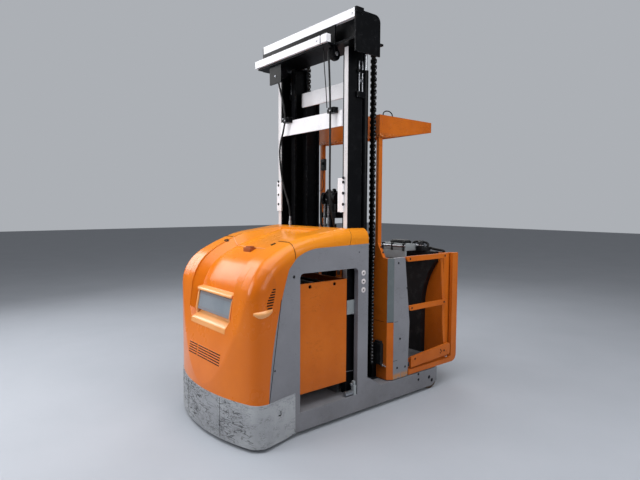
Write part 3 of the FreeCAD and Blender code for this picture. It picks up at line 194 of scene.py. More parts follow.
# Sprayed paint: cloudy tone, orange peel, dulled patches, scratches and rubbed edges. On black paint the pale
# edges are partly wear and partly a painted highlight.
def enamel(name, base, dark, roughness, scuff=0.0, scratch=0.0, mark="#2a2a2c", chip=0.0, edgeTone="#8d8f93",
           coat=0.0, peel=cells["peel"], dirt=0.0, rounding=0.002, prepare=None, hollow=None, shine=0.22):
    paint = Paint(name)
    rubbedAndLitEdges = paint.edges(rounding)
    cloud = paint.node("TexNoise", {"Vector": paint.place, "Scale": cells["cloud"], "Detail": 4.0,
                                    "Roughness": 0.6})
    tone = paint.lay(srgb(base), dark, paint.node("MapRange", [cloud, 0.35, 0.68]))
    if prepare:
        tone = prepare(paint, tone)
    patch = paint.blots(cells["dulled"], 6.0, 0.7, 0.56, 0.7)
    tone = paint.lay(tone, "#9a9b9e", patch, scuff)
    lines = paint.scratches(cells["scratch"], (1.0, 1.0, 4.0), 0.012, 0.5)
    cross = paint.scratches(cells["crossScratch"], (3.0, 3.0, 1.0), 0.010, 0.52, (0.5, 0.3, 0.2))
    marks = paint.node("Math", [lines, cross], operation="MAXIMUM")
    tone = paint.lay(tone, mark, marks, scratch)
    tone = paint.lay(tone, edgeTone, rubbedAndLitEdges, paint.blots(cells["chips"], 5.0, 0.7, 0.5, 0.56), chip)
    splash = paint.node("TexNoise", {"Vector": paint.place, "Scale": cells["splash"], "Detail": 5.0,
                                     "Roughness": 0.7})
    tone = paint.lay(tone, "#3b3631", paint.fade("Z", 0.5, 0.0), splash, dirt)
    rough = paint.node("MapRange", [cloud, 0.3, 0.7, roughness - 0.04, roughness + 0.05])
    duller = paint.node("Math", [patch, 0.1], operation="MULTIPLY")
    rough = paint.node("Math", [rough, duller], operation="ADD")
    peeled = paint.node("TexNoise", {"Vector": paint.place, "Scale": peel, "Detail": 2.0, "Roughness": 0.5})
    cut = paint.node("Math", [marks, scratch * 3.0], operation="MULTIPLY")
    paint.bump(paint.node("Math", [peeled, cut], operation="SUBTRACT"), 0.06, 0.0015)
    if hollow:
        paint.bump(hollow(paint), 0.6, 0.024)
    return paint.finish(tone, rough, 0.0, coat, shine)


# Metal with fine lines along one axis and a film of oil or dust.
def steel(name, base, dark, roughness, grain=(1.0, 1.0, 30.0), film=0.2):
    paint = Paint(name)
    paint.edges(0.001)
    place = paint.node("Mapping", {"Vector": paint.place, "Scale": grain})
    lines = paint.node("TexNoise", {"Vector": place, "Scale": cells["steelLines"], "Detail": 3.0,
                                    "Roughness": 0.6})
    tone = paint.lay(srgb(base), dark, paint.node("MapRange", [lines, 0.35, 0.65]))
    tone = paint.lay(tone, "#3a342c", paint.blots(cells["oilSpots"], 5.0, 0.7, 0.45, 0.7), film)
    rough = paint.node("MapRange", [lines, 0.3, 0.7, roughness - 0.06, roughness + 0.08])
    paint.bump(lines, 0.08, 0.0006)
    return paint.finish(tone, rough, 1.0)


# Moulded plastic or rubber with a fine texture, and ribs across an axis if asked.
def moulded(name, base, dark, roughness, texture=cells["leather"], depth=0.25, dust=0.1, ribs=None):
    paint = Paint(name)
    paint.edges(0.0015)
    cloud = paint.node("TexNoise", {"Vector": paint.place, "Scale": cells["plasticCloud"], "Detail": 4.0,
                                    "Roughness": 0.6})
    tone = paint.lay(srgb(base), dark, paint.node("MapRange", [cloud, 0.35, 0.7]))
    tone = paint.lay(tone, "#8b8b88", paint.blots(cells["dust"], 6.0, 0.7, 0.5, 0.75), dust)
    height = paint.node("TexNoise", {"Vector": paint.place, "Scale": texture, "Detail": 3.0,
                                     "Roughness": 0.6})
    if ribs:
        along = paint.node("SeparateXYZ", [paint.place], ribs[0])
        wave = paint.node("Math", [along, ribs[1]], operation="MULTIPLY")
        wave = paint.node("Math", [wave], operation="SINE")
        wave = paint.node("Math", [wave, 1.5], operation="MULTIPLY")
        height = paint.node("Math", [height, wave], operation="ADD")
    paint.bump(height, depth, 0.0008)
    rough = paint.node("MapRange", [cloud, 0.3, 0.7, roughness - 0.05, roughness + 0.08])
    return paint.finish(tone, rough)


# Painted reflection: white on the outward part of the outer rails' front flanges, standing for a window's
# glare on their black paint.
def railPaintedGlare(paint, tone):
    return paint.lay(tone, "#d5d2d4", paint.fade("X", -0.1885, -0.189), paint.fade("Y", 0.3955, 0.396, True),
                     paint.fade("Z", 1.0, 1.01))


# Dark long scrapes and rubbed-off paint on the bumper skirt, from 220 mm sweeps to 30 mm blots.
def scrapes(paint, tone):
    sweeps = paint.scratches(4.5, (1.5, 1.5, 7.0), 0.026, 0.44)
    knocks = paint.scratches(10.0, (1.0, 1.0, 3.4), 0.034, 0.49, (0.35, 0.3, 0.0))
    fine = paint.scratches(24.0, (1.0, 1.0, 7.0), 0.035, 0.44)
    tone = paint.lay(tone, "#3a3d42", paint.blots(34.0, 6.0, 0.75, 0.60, 0.64),
                     paint.blots(2.6, 2.0, 0.5, 0.50, 0.60))
    tone = paint.lay(tone, "#b4b8bc", paint.blots(6.0, 5.0, 0.7, 0.5, 0.64), 0.45)
    tone = paint.lay(tone, "#2c2f34", sweeps, 0.9)
    tone = paint.lay(tone, "#34373c", knocks, 0.8)
    return paint.lay(tone, "#4a4d52", fine, 0.6)


# Painted light: a lighter, yellower top on the hood, where light falls from above, and painted shade: a
# browner tone low on its sides.
def hoodLightAndShade(paint, tone):
    tone = paint.lay(tone, "#dc8a1c", paint.fade("Z", 1.10, 1.32), 0.75)
    return paint.lay(tone, "#c2600c", paint.fade("Y", 0.40, 0.53, True), paint.fade("Z", 1.25, 1.05))


# Middle of the dent above each side scoop and its stretch, the inverse of its half length and half height.
dent = {"X": (-0.955, 12.5), "Z": (1.015, 7.2), "rim": (0.05, 1.1), "flank": (0.40, 0.38)}


# A soft hollow above each side scoop, as a height from 0 to 1.
def scoopHollow(paint):
    squares = []
    for letter in ("X", "Z"):
        middle, stretch = dent[letter]
        place = paint.node("SeparateXYZ", [paint.place], letter)
        place = paint.node("Math", [place, middle], operation="SUBTRACT")
        place = paint.node("Math", [place, stretch], operation="MULTIPLY")
        squares.append(paint.node("Math", [place, place], operation="MULTIPLY"))
    square = paint.node("Math", squares, operation="ADD")
    outside = paint.node("MapRange", [square, *dent["rim"]])
    return paint.node("Math", [outside, paint.fade("Y", *dent["flank"], True)], operation="MAXIMUM")


# A darker blue-grey on the narrow mast-side face of the corner panels, rusty at its foot.
def cornerStrip(paint, tone):
    tone = paint.lay(tone, "#5d6769", paint.fade("X", 0.2535, 0.2525), 0.85)
    return paint.lay(tone, "#b5793a", paint.fade("Z", 0.235, 0.205), paint.blots(30.0, 5.0, 0.7, 0.42, 0.55))


# Dark brown 13 mm spots along the lower edge of the overhead guard, and pale 9 mm spots there that are
# painted light, standing for light seen through the roof's perforated underside.
def guardEdgeSpots(paint, tone):
    edge = paint.fade("Z", 2.125, 2.095)
    tone = paint.lay(tone, "#59290b", edge, paint.blots(75.0, 4.0, 0.7, 0.50, 0.56))
    return paint.lay(tone, "#e9c9a4", edge, paint.blots(110.0, 3.0, 0.6, 0.60, 0.64))


materials = {
    # sprayed steel of the trough, cabin and gates: half dull, chipped brown at the edges
    "orange_enamel": enamel("orange_enamel", "#c4661a", "#b75a12", 0.40, 0.06, 0.35, "#5b2c0c", 0.8,
                            "#3b2a20", dirt=0.5),
    # moulded shell, sprayed and lacquered: the glossiest part, with soft edges
    "hood_shell": enamel("orange_hood_enamel", "#dc7512", "#cf690a", 0.28, 0.02, 0.05, "#8d4510", 0.0,
                         coat=0.22, peel=cells["hoodPeel"], dirt=0.1, rounding=0.004, prepare=hoodLightAndShade,
                         hollow=scoopHollow),
    # sprayed steel frames: dull, with pale chips and a dirty foot
    "grey_enamel": enamel("grey_enamel", "#808187", "#76777d", 0.45, 0.10, 0.35, "#4a4b4f", 0.7, "#b3b4b6",
                          dirt=0.6),
    # painted bumper casting: pale, heavily scraped
    "scuffed_skirt": enamel("scraped_grey_enamel", "#abaeb2", "#989ba0", 0.5, 0.15, 0.45, "#33363b", 0.8,
                            "#c2c4c6", dirt=0.5, prepare=scrapes),
    # black paint on rolled rails: deep black under a film of grease, its pale rubbed edges partly wear and
    # partly a painted highlight
    "mast_black": enamel("black_enamel", "#08090c", "#040507", 0.34, 0.02, 0.25, "#35363a", 0.8, "#85868a",
                         peel=cells["blackPeel"], shine=0.11),
    # white of the beams: a painted reflection, standing for a window's glare on their black paint; clean,
    # with grey scratches
    "white_enamel": enamel("white_enamel", "#f0eff3", "#e4e4e8", 0.38, 0.05, 0.3, "#8e8d90", 0.5, "#5a5a5d"),
    # textured moulded panels of the desk and console
    "black_plastic": moulded("black_plastic", "#17181b", "#101114", 0.5),
    # moulded cell boxes under dust
    "battery_block": moulded("cell_plastic", "#1c1d20", "#141518", 0.55, dust=0.3),
    # cast tread, browned by the floor, with 8 mm wear marks
    "wheel_tread": moulded("wheel_polyurethane", "#4a3a2c", "#3c3026", 0.55, 120, 0.4, 0.35),
    # drawn and plated rods: bright with lines along their length
    "bright_steel": steel("bright_steel", "#b9bbc0", "#9da0a6", 0.28),
    # stamped links, dark with oil
    "chain_steel": steel("oiled_chain_steel", "#2c2b2b", "#1b1a1a", 0.34, film=0.5),
    # sand-cast iron: dark, without lines
    "cast_iron": steel("cast_iron", "#34353a", "#26272b", 0.6, (1.0, 1.0, 1.0), 0.5),
    # pressed rubber with 15 mm ribs across the floor, greyed by shoes
    "rubber_mat": moulded("floor_mat_rubber", "#4b4e52", "#3c3f43", 0.65, 300, 0.8, 0.35, ("Y", 420.0)),
}

# Nodes whose paint has marks of its own.
nodePaint = {
    # black rail paint with a painted reflection, white on the front flanges' outer part, and pale rubbed
    # edges that are partly wear and partly painted highlight
    "outer_rail": enamel("black_rail_enamel", "#08090c", "#040507", 0.34, 0.02, 0.25, "#35363a", 0.7,
                         "#85868a", peel=cells["blackPeel"], prepare=railPaintedGlare, shine=0.13),
    # guard paint with chipped edges, and painted light in pale spots along its lower edge
    "overhead_guard": enamel("worn_guard_enamel_and_painted_light", "#c4661a", "#b05510", 0.40, 0.08, 0.5, "#5b2c0c", 1.0,
                             "#3b2a20", prepare=guardEdgeSpots),
    "corner_panels": enamel("weathered_panel_enamel", "#808187", "#76777d", 0.45, 0.14, 0.4, "#4a4b4f", 0.8,
                            "#a5672f", dirt=0.3, prepare=cornerStrip),
}

# Finishes of the scene's own pieces, each with the declared slot that it comes under.
pieceFinish = {
    # openings that show only shadow
    "void": ("black_plastic", moulded("shadowed_opening", "#050506", "#020202", 0.8)),
    # extruded hose and cable covers, soft sheen
    "rubber": ("black_plastic", moulded("hose_rubber", "#111214", "#0a0a0c", 0.45, 400, 0.3, 0.15)),
    # silver-grey sprayed desk housing
    "silver": ("grey_enamel", enamel("silver_desk_enamel", "#8e9396", "#7c8285", 0.3, 0.08, 0.3, "#4b4d50")),
    # hood latch with browned paint
    "latch": ("orange_enamel", enamel("brown_latch_enamel", "#a04f1b", "#843f12", 0.5, 0.1, 0.3, "#3c1d0a",
                                      0.5)),
    # blank pale plates on the side frame
    "disc": ("grey_enamel", enamel("blank_disc_enamel", "#d9d6d6", "#c6bfc0", 0.4, 0.1, 0.3, "#8a8082")),
    # blank grey face of the badge
    "badge": ("grey_enamel", enamel("blank_badge_enamel", "#878f97", "#737c85", 0.35, 0.15, 0.3, "#5c646c")),
    # lacquered lips and beads, painted pale orange as a painted highlight where light from above catches them
    "lip": ("orange_enamel", enamel("highlight_orange_enamel", "#e6a468", "#dc8f48", 0.32, coat=0.5)),
}


# The declared slot and the material of a finish.
def finishOf(name):
    return pieceFinish.get(name) or (name, materials[name])


for row in frame["record"]["subparts"]:
    mesh = nodes[row["node"]].data
    mesh.materials.clear()
    own = "outer_rail" if row["node"].startswith("outer_rail") else row["node"]
    mesh.materials.append(nodePaint.get(own) or materials[row["material_slot"]])
print("materials set")

pieceNames = []


# A finished piece from its mesh.
def addPiece(name, mesh, slot, body):
    made = bpy.data.objects.new(name, mesh)
    bpy.context.scene.collection.objects.link(made)
    if body:
        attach(made, body)
    finishOf(slot)[0]
    pieceNames.append(name)
    return made


# Two directions square to an axis.
def squareTo(axis):
    along = Vector(axis).normalized()
    side = along.cross(Vector((0, 0, 1)) if abs(along.z) < 0.9 else Vector((1, 0, 0))).normalized()
    return along, side, along.cross(side)


def ring(middle, side, up, radius, sides):
    angles = [2 * math.pi * i / sides for i in range(sides)]
    return [middle + side * radius * math.cos(a) + up * radius * math.sin(a) for a in angles]


# A piece built up in mesh code from bevelled blocks, turned shapes and swept lines.
class Shape:
    def __init__(self):
        self.mesh = bmesh.new()

    def bevel(self, edges, offset):
        if offset:
            bmesh.ops.bevel(self.mesh, geom=edges, offset=offset, segments=2, profile=0.6, affect="EDGES")

    def block(self, low, high, bevel):
        verts = [self.mesh.verts.new((x, y, z)) for x in (low[0], high[0]) for y in (low[1], high[1])
                 for z in (low[2], high[2])]
        quads = [(0, 1, 3, 2), (4, 6, 7, 5), (0, 4, 5, 1), (2, 3, 7, 6), (0, 2, 6, 4), (1, 5, 7, 3)]
        made = [self.mesh.faces.new([verts[i] for i in row]) for row in quads]
        self.bevel(list({edge for face in made for edge in face.edges}), bevel)
        return self

    def blocks(self, rows):
        for low, high, bevel in rows:
            self.block(low, high, bevel)
        return self

    # Rings of points joined one to the next and closed at the ends. A ring of one point is a pole.
    def loft(self, rings):
        rows = [[self.mesh.verts.new(point) for point in points] for points in rings]
        sides = max(len(row) for row in rows)
        for a, b in zip(rows, rows[1:]):
            for i in range(sides):
                j = (i + 1) % sides
                corners = [a[i % len(a)], a[j % len(a)], b[j % len(b)], b[i % len(b)]]
                unique = list(dict.fromkeys(corners))
                if len(unique) > 2:
                    self.mesh.faces.new(unique)
        for row in (rows[0], rows[-1]):
            if len(row) > 2:
                self.mesh.faces.new(row)
        return self

    # A turned shape: profile holds pairs of place along the axis and radius.
    def lathe(self, origin, axis, profile, sides=24):
        along, side, up = squareTo(axis)
        middles = [(Vector(origin) + along * place, radius) for place, radius in profile]
        return self.loft([ring(middle, side, up, radius, sides) if radius else [middle]
                          for middle, radius in middles])

    def lathes(self, rows):
        for row in rows:
            self.lathe(*row)
        return self

    def rod(self, start, end, radius, sides=16):
        axis = Vector(end) - Vector(start)
        long, small = axis.length, radius * 0.15
        return self.lathe(start, axis, [(0, radius - small), (small, radius), (long - small, radius),
                                        (long, radius - small)], sides)

    # A tube along smoothed points.
    def sweep(self, points, radius, sides=12, smooth=6):
        line = smoothed(points, smooth)
        rings, side = [], None
        for i, point in enumerate(line):
            along = (line[min(i + 1, len(line) - 1)] - line[max(i - 1, 0)]).normalized()
            side = squareTo(along)[1] if side is None else (side - along * side.dot(along)).normalized()
            rings.append(ring(point, side, along.cross(side), radius, sides))
        return self.loft(rings)

    # A hexagon-headed bolt on a washer.
    def bolt(self, place, normal, radius, height):
        washer = [(-0.002, radius * 1.35), (0.0012, radius * 1.35), (0.0016, radius * 1.28)]
        hexagon = [(0.001, radius), (height * 0.8, radius), (height, radius * 0.84)]
        self.lathe(place, normal, washer, 20).lathe(place, normal, hexagon, 6)
        return self

    # A flat outline given in order, thickened from one face to the other.
    def plate(self, outline, thick, bevel):
        near = [self.mesh.verts.new(Vector(p)) for p in outline]
        far = [self.mesh.verts.new(Vector(p) + Vector(thick)) for p in outline]
        made = [self.mesh.faces.new(near), self.mesh.faces.new(list(reversed(far)))]
        rim = list(made[0].edges) + list(made[1].edges)
        for i in range(len(near)):
            j = (i + 1) % len(near)
            self.mesh.faces.new([near[j], near[i], far[i], far[j]])
        self.bevel(rim, bevel)
        return self

    # A grid of points raised from a surface, its rim going down to sink below it.
    def skin(self, grid, normals, lift, sink):
        rows, cols = len(grid), len(grid[0])
        top = [[self.mesh.verts.new(grid[r][c] + normals[r][c] * lift[r][c]) for c in range(cols)]
               for r in range(rows)]
        low = [[self.mesh.verts.new(grid[r][c] - normals[r][c] * sink) for c in range(cols)]
               for r in range(rows)]
        for r in range(rows - 1):
            for c in range(cols - 1):
                self.mesh.faces.new([top[r][c], top[r][c + 1], top[r + 1][c + 1], top[r + 1][c]])
                self.mesh.faces.new([low[r][c], low[r + 1][c], low[r + 1][c + 1], low[r][c + 1]])
        rim = [(0, c) for c in range(cols)] + [(r, cols - 1) for r in range(1, rows)]
        rim += [(rows - 1, c) for c in range(cols - 2, -1, -1)] + [(r, 0) for r in range(rows - 2, 0, -1)]
        for (r, c), (s, d) in zip(rim, rim[1:] + rim[:1]):
            self.mesh.faces.new([top[r][c], low[r][c], low[s][d], top[s][d]])
        return self

    # A thin patch pressed on a node, a little lower along its rim where it has one.
    def patch(self, node, corners, along, grid, height, sink, rim=0):
        rows, cols = grid
        inner = [[rim <= r < rows - rim and rim <= c < cols - rim for c in range(cols)] for r in range(rows)]
        lift = [[height if high else height * 0.55 for high in row] for row in inner]
        return self.skin(*pressed(node, corners, along, rows, cols), lift, sink)

    # Adds the same piece on the truck's other side.
    def mirror(self):
        parts = self.mesh.verts[:] + self.mesh.edges[:] + self.mesh.faces[:]
        for part in bmesh.ops.duplicate(self.mesh, geom=parts)["geom"]:
            if isinstance(part, bmesh.types.BMVert):
                part.co.y = -part.co.y
        return self

    def toMesh(self, name):
        data = bpy.data.meshes.new(name)
        self.mesh.to_mesh(data)
        self.mesh.free()
        return data

    def finish(self, name, slot, body="chassis", angle=35):
        bmesh.ops.recalc_face_normals(self.mesh, faces=self.mesh.faces)
        sharp = math.radians(angle)
        for face in self.mesh.faces:
            face.smooth = True
        for edge in self.mesh.edges:
            edge.smooth = len(edge.link_faces) == 2 and edge.calc_face_angle(0.0) < sharp
        data = self.toMesh(name)
        data.materials.append(finishOf(slot)[1])
        return addPiece(name, data, slot, body)


# Points of a smooth line through the given ones.
def smoothed(points, steps):
    line = [Vector(p) for p in points]
    if steps < 2 or len(line) < 3:
        return line
    padded = [line[0] * 2 - line[1]] + line + [line[-1] * 2 - line[-2]]
    out = []
    for i in range(1, len(padded) - 2):
        a, b, c, d = padded[i - 1:i + 3]
        for k in range(steps):
            t = k / steps
            out.append(0.5 * (2 * b + (c - a) * t + (2 * a - 5 * b + 4 * c - d) * t * t
                              + (3 * b - 3 * c + d - a) * t ** 3))
    out.append(line[-1])
    return out


# The same points on the truck's other side.
def flipped(points):
    return [(x, -y, z) for x, y, z in points]


# The corners of an upright rectangle that stands across x or y.
def upright(axis, place, start, end, low, high):
    corners = [(start, low), (end, low), (end, high), (start, high)]
    return [(place, a, z) if axis == "x" else (a, place, z) for a, z in corners]


surfaces = {}


# A node's mesh, ready to be met by lines.
def surface(node):
    if node not in surfaces:
        body = nodes[node]
        body.data.calc_loop_triangles()
        points = [body.matrix_world @ v.co for v in body.data.vertices]
        surfaces[node] = BVHTree.FromPolygons(points, [tuple(t.vertices) for t in body.data.loop_triangles])
    return surfaces[node]


# Where a line from a point meets a node, and the outward normal there.
def meet(node, start, along):
    along = Vector(along).normalized()
    place, normal = surface(node).ray_cast(Vector(start), along)[:2]
    if place is None:
        place, normal = surface(node).find_nearest(Vector(start))[:2]
    return place, -normal if normal.dot(along) > 0 else normal


# The outermost place of a node at some length and height, and its normal. The photo's side is -1.
def onSide(node, x, z, side=-1):
    return meet(node, (x, side * 0.9, z), (0, -side, 0))


# Where the photo's pixel lies on a node.
def seen(node, pixel):
    camera = bpy.context.scene.camera.matrix_world
    across, down = [(pixel[i] - photo["size"][i] / 2) / photo["focalPixels"] for i in (0, 1)]
    return meet(node, camera.translation, camera.to_3x3() @ Vector((across, -down, -1.0)))


# The first of several nodes that the photo's pixel falls on.
def seenOn(names, pixel):
    eye = bpy.context.scene.camera.matrix_world.translation
    return min([seen(name, pixel) for name in names], key=lambda hit: (hit[0] - eye).length)


# A pixel from its place on an eight times enlarged part of the photo that starts at (180, 220).
def enlarged(x, y):
    return (180 + x / 8, 220 + y / 8)


# A grid between four corners, pressed on a node along a direction from 0.3 m before them.
def pressed(node, corners, along, rows, cols):
    grid, normals = [], []
    a, b, c, d = [Vector(p) for p in corners]
    for r in range(rows):
        v = r / (rows - 1)
        line, facing = [], []
        for k in range(cols):
            u = k / (cols - 1)
            start = (a * (1 - u) + b * u) * (1 - v) + (d * (1 - u) + c * u) * v - Vector(along) * 0.3
            place, normal = meet(node, start, along)
            line.append(place)
            facing.append(normal)
        grid.append(line)
        normals.append(facing)
    return grid, normals


# A shape repeated along a step, made by geometry nodes and turned into plain mesh.
def repeated(name, shape, step, count, slot, body):
    bmesh.ops.recalc_face_normals(shape.mesh, faces=shape.mesh.faces)
    source = bpy.data.objects.new(name + "_source", shape.toMesh(name + "_source"))
    bpy.context.scene.collection.objects.link(source)
    group = bpy.data.node_groups.new(name + "_nodes", "GeometryNodeTree")
    face = group.interface
    for label, kind in (("Geometry", "Geometry"), ("Count", "Int"), ("Step", "Vector"),
                        ("Material", "Material")):
        face.new_socket(label, in_out="INPUT", socket_type="NodeSocket" + kind)
    face.new_socket("Geometry", in_out="OUTPUT", socket_type="NodeSocketGeometry")
    make, link = group.nodes.new, group.links.new
    into, out = make("NodeGroupInput"), make("NodeGroupOutput")
    line, copies = make("GeometryNodeMeshLine"), make("GeometryNodeInstanceOnPoints")
    real, paint = make("GeometryNodeRealizeInstances"), make("GeometryNodeSetMaterial")
    link(into.outputs["Count"], line.inputs["Count"])
    link(into.outputs["Step"], line.inputs["Offset"])
    link(line.outputs["Mesh"], copies.inputs["Points"])
    link(into.outputs["Geometry"], copies.inputs["Instance"])
    link(copies.outputs["Instances"], real.inputs["Geometry"])
    link(real.outputs["Geometry"], paint.inputs["Geometry"])
    link(into.outputs["Material"], paint.inputs["Material"])
    link(paint.outputs["Geometry"], out.inputs["Geometry"])
    modifier = source.modifiers.new("repeat", "NODES")
    modifier.node_group = group
    values = {"Count": count, "Step": Vector(step), "Material": finishOf(slot)[1]}
    for item in face.items_tree:
        if item.in_out == "INPUT" and item.name in values:
            modifier[item.identifier] = values[item.name]
    bpy.context.view_layer.update()
    mesh = bpy.data.meshes.new_from_object(source.evaluated_get(bpy.context.evaluated_depsgraph_get()))
    bpy.data.objects.remove(source, do_unlink=True)
    return addPiece(name, mesh, slot, body)


print("helpers ready")

# Forwards is towards the cabin, and inwards is away from the photo's side.
forwards, backwards, inwards, upwards = (1, 0, 0), (-1, 0, 0), (0, 1, 0), (0, 0, 1)

louvre = {"groups": ((0.234, 0.111), (0.096, -0.052), (-0.058, -0.220)), "rows": 5, "low": 0.498,
          "pitch": 0.017, "height": 0.0085, "reach": 0.0016, "lip": 0.004, "sink": 0.002, "grid": (4, 13)}


def addLouvres():
    slots, lips = Shape(), Shape()
    grid, reach, sink = louvre["grid"], louvre["reach"], louvre["sink"]
    for left, right in louvre["groups"]:
        for row in range(louvre["rows"]):
            z = louvre["low"] + row * louvre["pitch"]
            opening = upright("x", -1.11, left, right, z, z + louvre["height"])
            slots.patch("hood", opening, forwards, grid, reach * 0.4, sink)
            z += louvre["height"] * 0.9
            edge = upright("x", -1.11, left, right, z, z + louvre["lip"])
            lips.patch("hood", edge, forwards, grid, reach * 1.6, sink, 1)
    slots.finish("front_louvre_openings", "void")
    lips.finish("front_louvre_lips", "hood_shell")


# The side scoops' slots and lip, at places on the enlarged photo, and the lip's rows across it.
scoop = {"top": 560, "step": 22, "slant": 4, "left": (742, 732, 722, 712, 703, 697, 694, 700),
         "right": (765, 763, 760, 757, 753, 749, 745, 738), "tall": 0.0085, "grid": (3, 5), "reach": 0.0008,
         "lip": ((586, 758), (606, 758), (630, 762), (655, 760), (682, 752), (708, 742), (728, 732),
                 (742, 722)),
         "drops": (0.020, 0.013, 0.003, -0.008, -0.026), "lifts": (0.0003, 0.007, 0.013, 0.009, 0.0003)}


def addScoops():
    slots, ledge = Shape(), Shape()
    for row, (left, right) in enumerate(zip(scoop["left"], scoop["right"])):
        y = scoop["top"] + row * scoop["step"]
        start = seen("hood", enlarged(left, y + scoop["slant"]))[0]
        end = seen("hood", enlarged(right, y))[0]
        corners = upright("y", -0.54, start.x, end.x, start.z, start.z + scoop["tall"])
        slots.patch("hood", corners, inwards, scoop["grid"], scoop["reach"], 0.002)
    slots.mirror().finish("hood_side_slots", "void")
    line = [seen("hood", enlarged(*place))[0] for place in scoop["lip"]]
    last = len(line) - 1
    tapers = [math.sin(math.pi * (0.1 + 0.8 * k / last)) for k in range(len(line))]
    grid, normals, lifts = [], [], []
    for drop, lift in zip(scoop["drops"], scoop["lifts"]):
        places = [onSide("hood", p.x, p.z + drop * taper) for p, taper in zip(line, tapers)]
        grid.append([place for place, normal in places])
        normals.append([normal for place, normal in places])
        lifts.append([lift * math.sin(math.pi * k / last) ** 0.8 + 0.0002 for k in range(len(line))])
    ledge.skin(grid, normals, lifts, 0.003)
    # the lips' pale finish is a painted highlight on their top
    ledge.mirror().finish("hood_scoop_lips", "lip", angle=60)


# Sections hold the reach in front of the plate and the offset from the badge's top or end.
badge = {"half": 0.250, "plate": 0.228, "low": 0.790, "high": 0.940, "middle": 0.865, "railSteps": 17,
         "rail": ((-0.06, -0.002), (0.006, -0.002), (0.012, 0.003), (0.012, 0.012), (0.006, 0.020),
                  (-0.06, 0.030)),
         "endSlope": 0.35, "tray": (-0.078, 0.004), "trayGrid": (14, 30), "postSteps": 9,
         "post": ((-0.05, -0.016), (0.004, -0.016), (0.010, -0.010), (0.010, 0.0), (-0.05, 0.006)),
         "face": (-0.222, 0.222, 0.800, 0.930), "faceGrid": (6, 16)}


# The badge's rail, tray and end posts follow the hood's curve around a blank face.
def addBadge():
    surround, face = Shape(), Shape()
    low, high, half, plate = [badge[key] for key in ("low", "high", "half", "plate")]
    rings, steps = [], badge["railSteps"]
    for i in range(steps):
        y = half * (2 * i / (steps - 1) - 1)
        held = max(min(y, plate), -plate)
        front = meet("badge_plate", (-1.4, held, badge["middle"]), forwards)[0].x
        front += abs(y - held) * badge["endSlope"]
        rings.append([(front - reach, y, high + rise) for reach, rise in badge["rail"]])
    surround.loft(rings)
    tray = upright("x", -1.2, -half, half, low + badge["tray"][0], low + badge["tray"][1])
    surround.patch("hood", tray, forwards, badge["trayGrid"], 0.002, 0.004)
    for side in (-1, 1):
        rings, steps = [], badge["postSteps"]
        for i in range(steps):
            z = low - 0.03 + (high - low + 0.05) * i / (steps - 1)
            held = min(max(z, low + 0.01), high - 0.01)
            front = meet("badge_plate", (-1.4, side * plate, held), forwards)[0].x
            rings.append([(front - reach, side * (half + out), z) for reach, out in badge["post"]])
        surround.loft(rings)
    # the rail, tray and posts take the pale finish, a painted highlight of light from above
    surround.finish("badge_surround", "lip", angle=50)
    corners = upright("x", -1.1, *badge["face"])
    face.patch("badge_plate", corners, forwards, badge["faceGrid"], 0.0012, 0.001, 1)
    face.finish("badge_face", "badge", angle=60)


coverSeam = {"x": -0.697, "foot": 1.205, "half": 0.46, "steps": 30, "turned": 5, "ahead": 0.003,
             "radius": 0.0024, "beadAhead": 0.004,
             "beadRadius": 0.0032, "end": (-0.190, 1.375), "endStep": (-0.0048, -0.018),
             "endRadius": 0.0015}


# The dark gap between the front hood and the rear cover at its ends, and the bead on its middle, painted pale
# as a painted highlight.
def addCoverSeams():
    line, bead, x, steps = Shape(), Shape(), coverSeam["x"], coverSeam["steps"]
    side = [onSide("rear_cover", x, coverSeam["foot"] + 0.012 * i)[0] for i in range(6)]
    width = [coverSeam["half"] * (2 * i / steps - 1) for i in range(steps + 1)]
    top = [meet("rear_cover", (x, y, 1.7), (0, 0, -1))[0] for y in width]
    turned = coverSeam["turned"]
    path = [p for p in side if p.z < top[0].z - 0.004] + top[:turned + 1]
    path = [(p.x - coverSeam["ahead"], p.y, p.z) for p in path]
    for points in (path, flipped(path)):
        line.sweep(points, coverSeam["radius"], 8, 1)
    (endX, endZ), (stepX, stepZ) = coverSeam["end"], coverSeam["endStep"]
    for sign in (-1, 1):
        end = [onSide("rear_cover", endX + stepX * i, endZ + stepZ * i, sign)[0] for i in range(8)]
        line.sweep([p for p in end if abs(p.y) > 0.40], coverSeam["endRadius"], 8, 1)
    middle = [(p.x - coverSeam["beadAhead"], p.y, p.z + 0.0005) for p in top[turned:steps + 1 - turned]]
    bead.sweep(middle, coverSeam["beadRadius"], 8, 1)
    line.finish("cover_seams", "void")
    # the bead's pale finish is a painted highlight
    bead.finish("cover_bead", "lip")


# The latch's blocks and its turning knob, and the grip slots' ends in the photo with their height.
hoodFittings = {
    "latch": (((-0.758, -0.030, 1.200), (-0.702, 0.068, 1.244), 0.008),
              ((-0.750, -0.018, 1.242), (-0.712, 0.026, 1.254), 0.004)),
    "knob": ((-0.731, 0.048, 1.242), upwards, ((-0.004, 0.013), (0.006, 0.013), (0.010, 0.009)), 24),
    "grips": (((271.0, 245.5), (275.5, 243.5), 0.018), ((252.0, 230.6), (263.5, 228.2), 0.016),
              ((224.5, 241.0), (228.5, 240.0), 0.020)),
    "gripSink": 0.004, "gripThick": 0.0085,
}


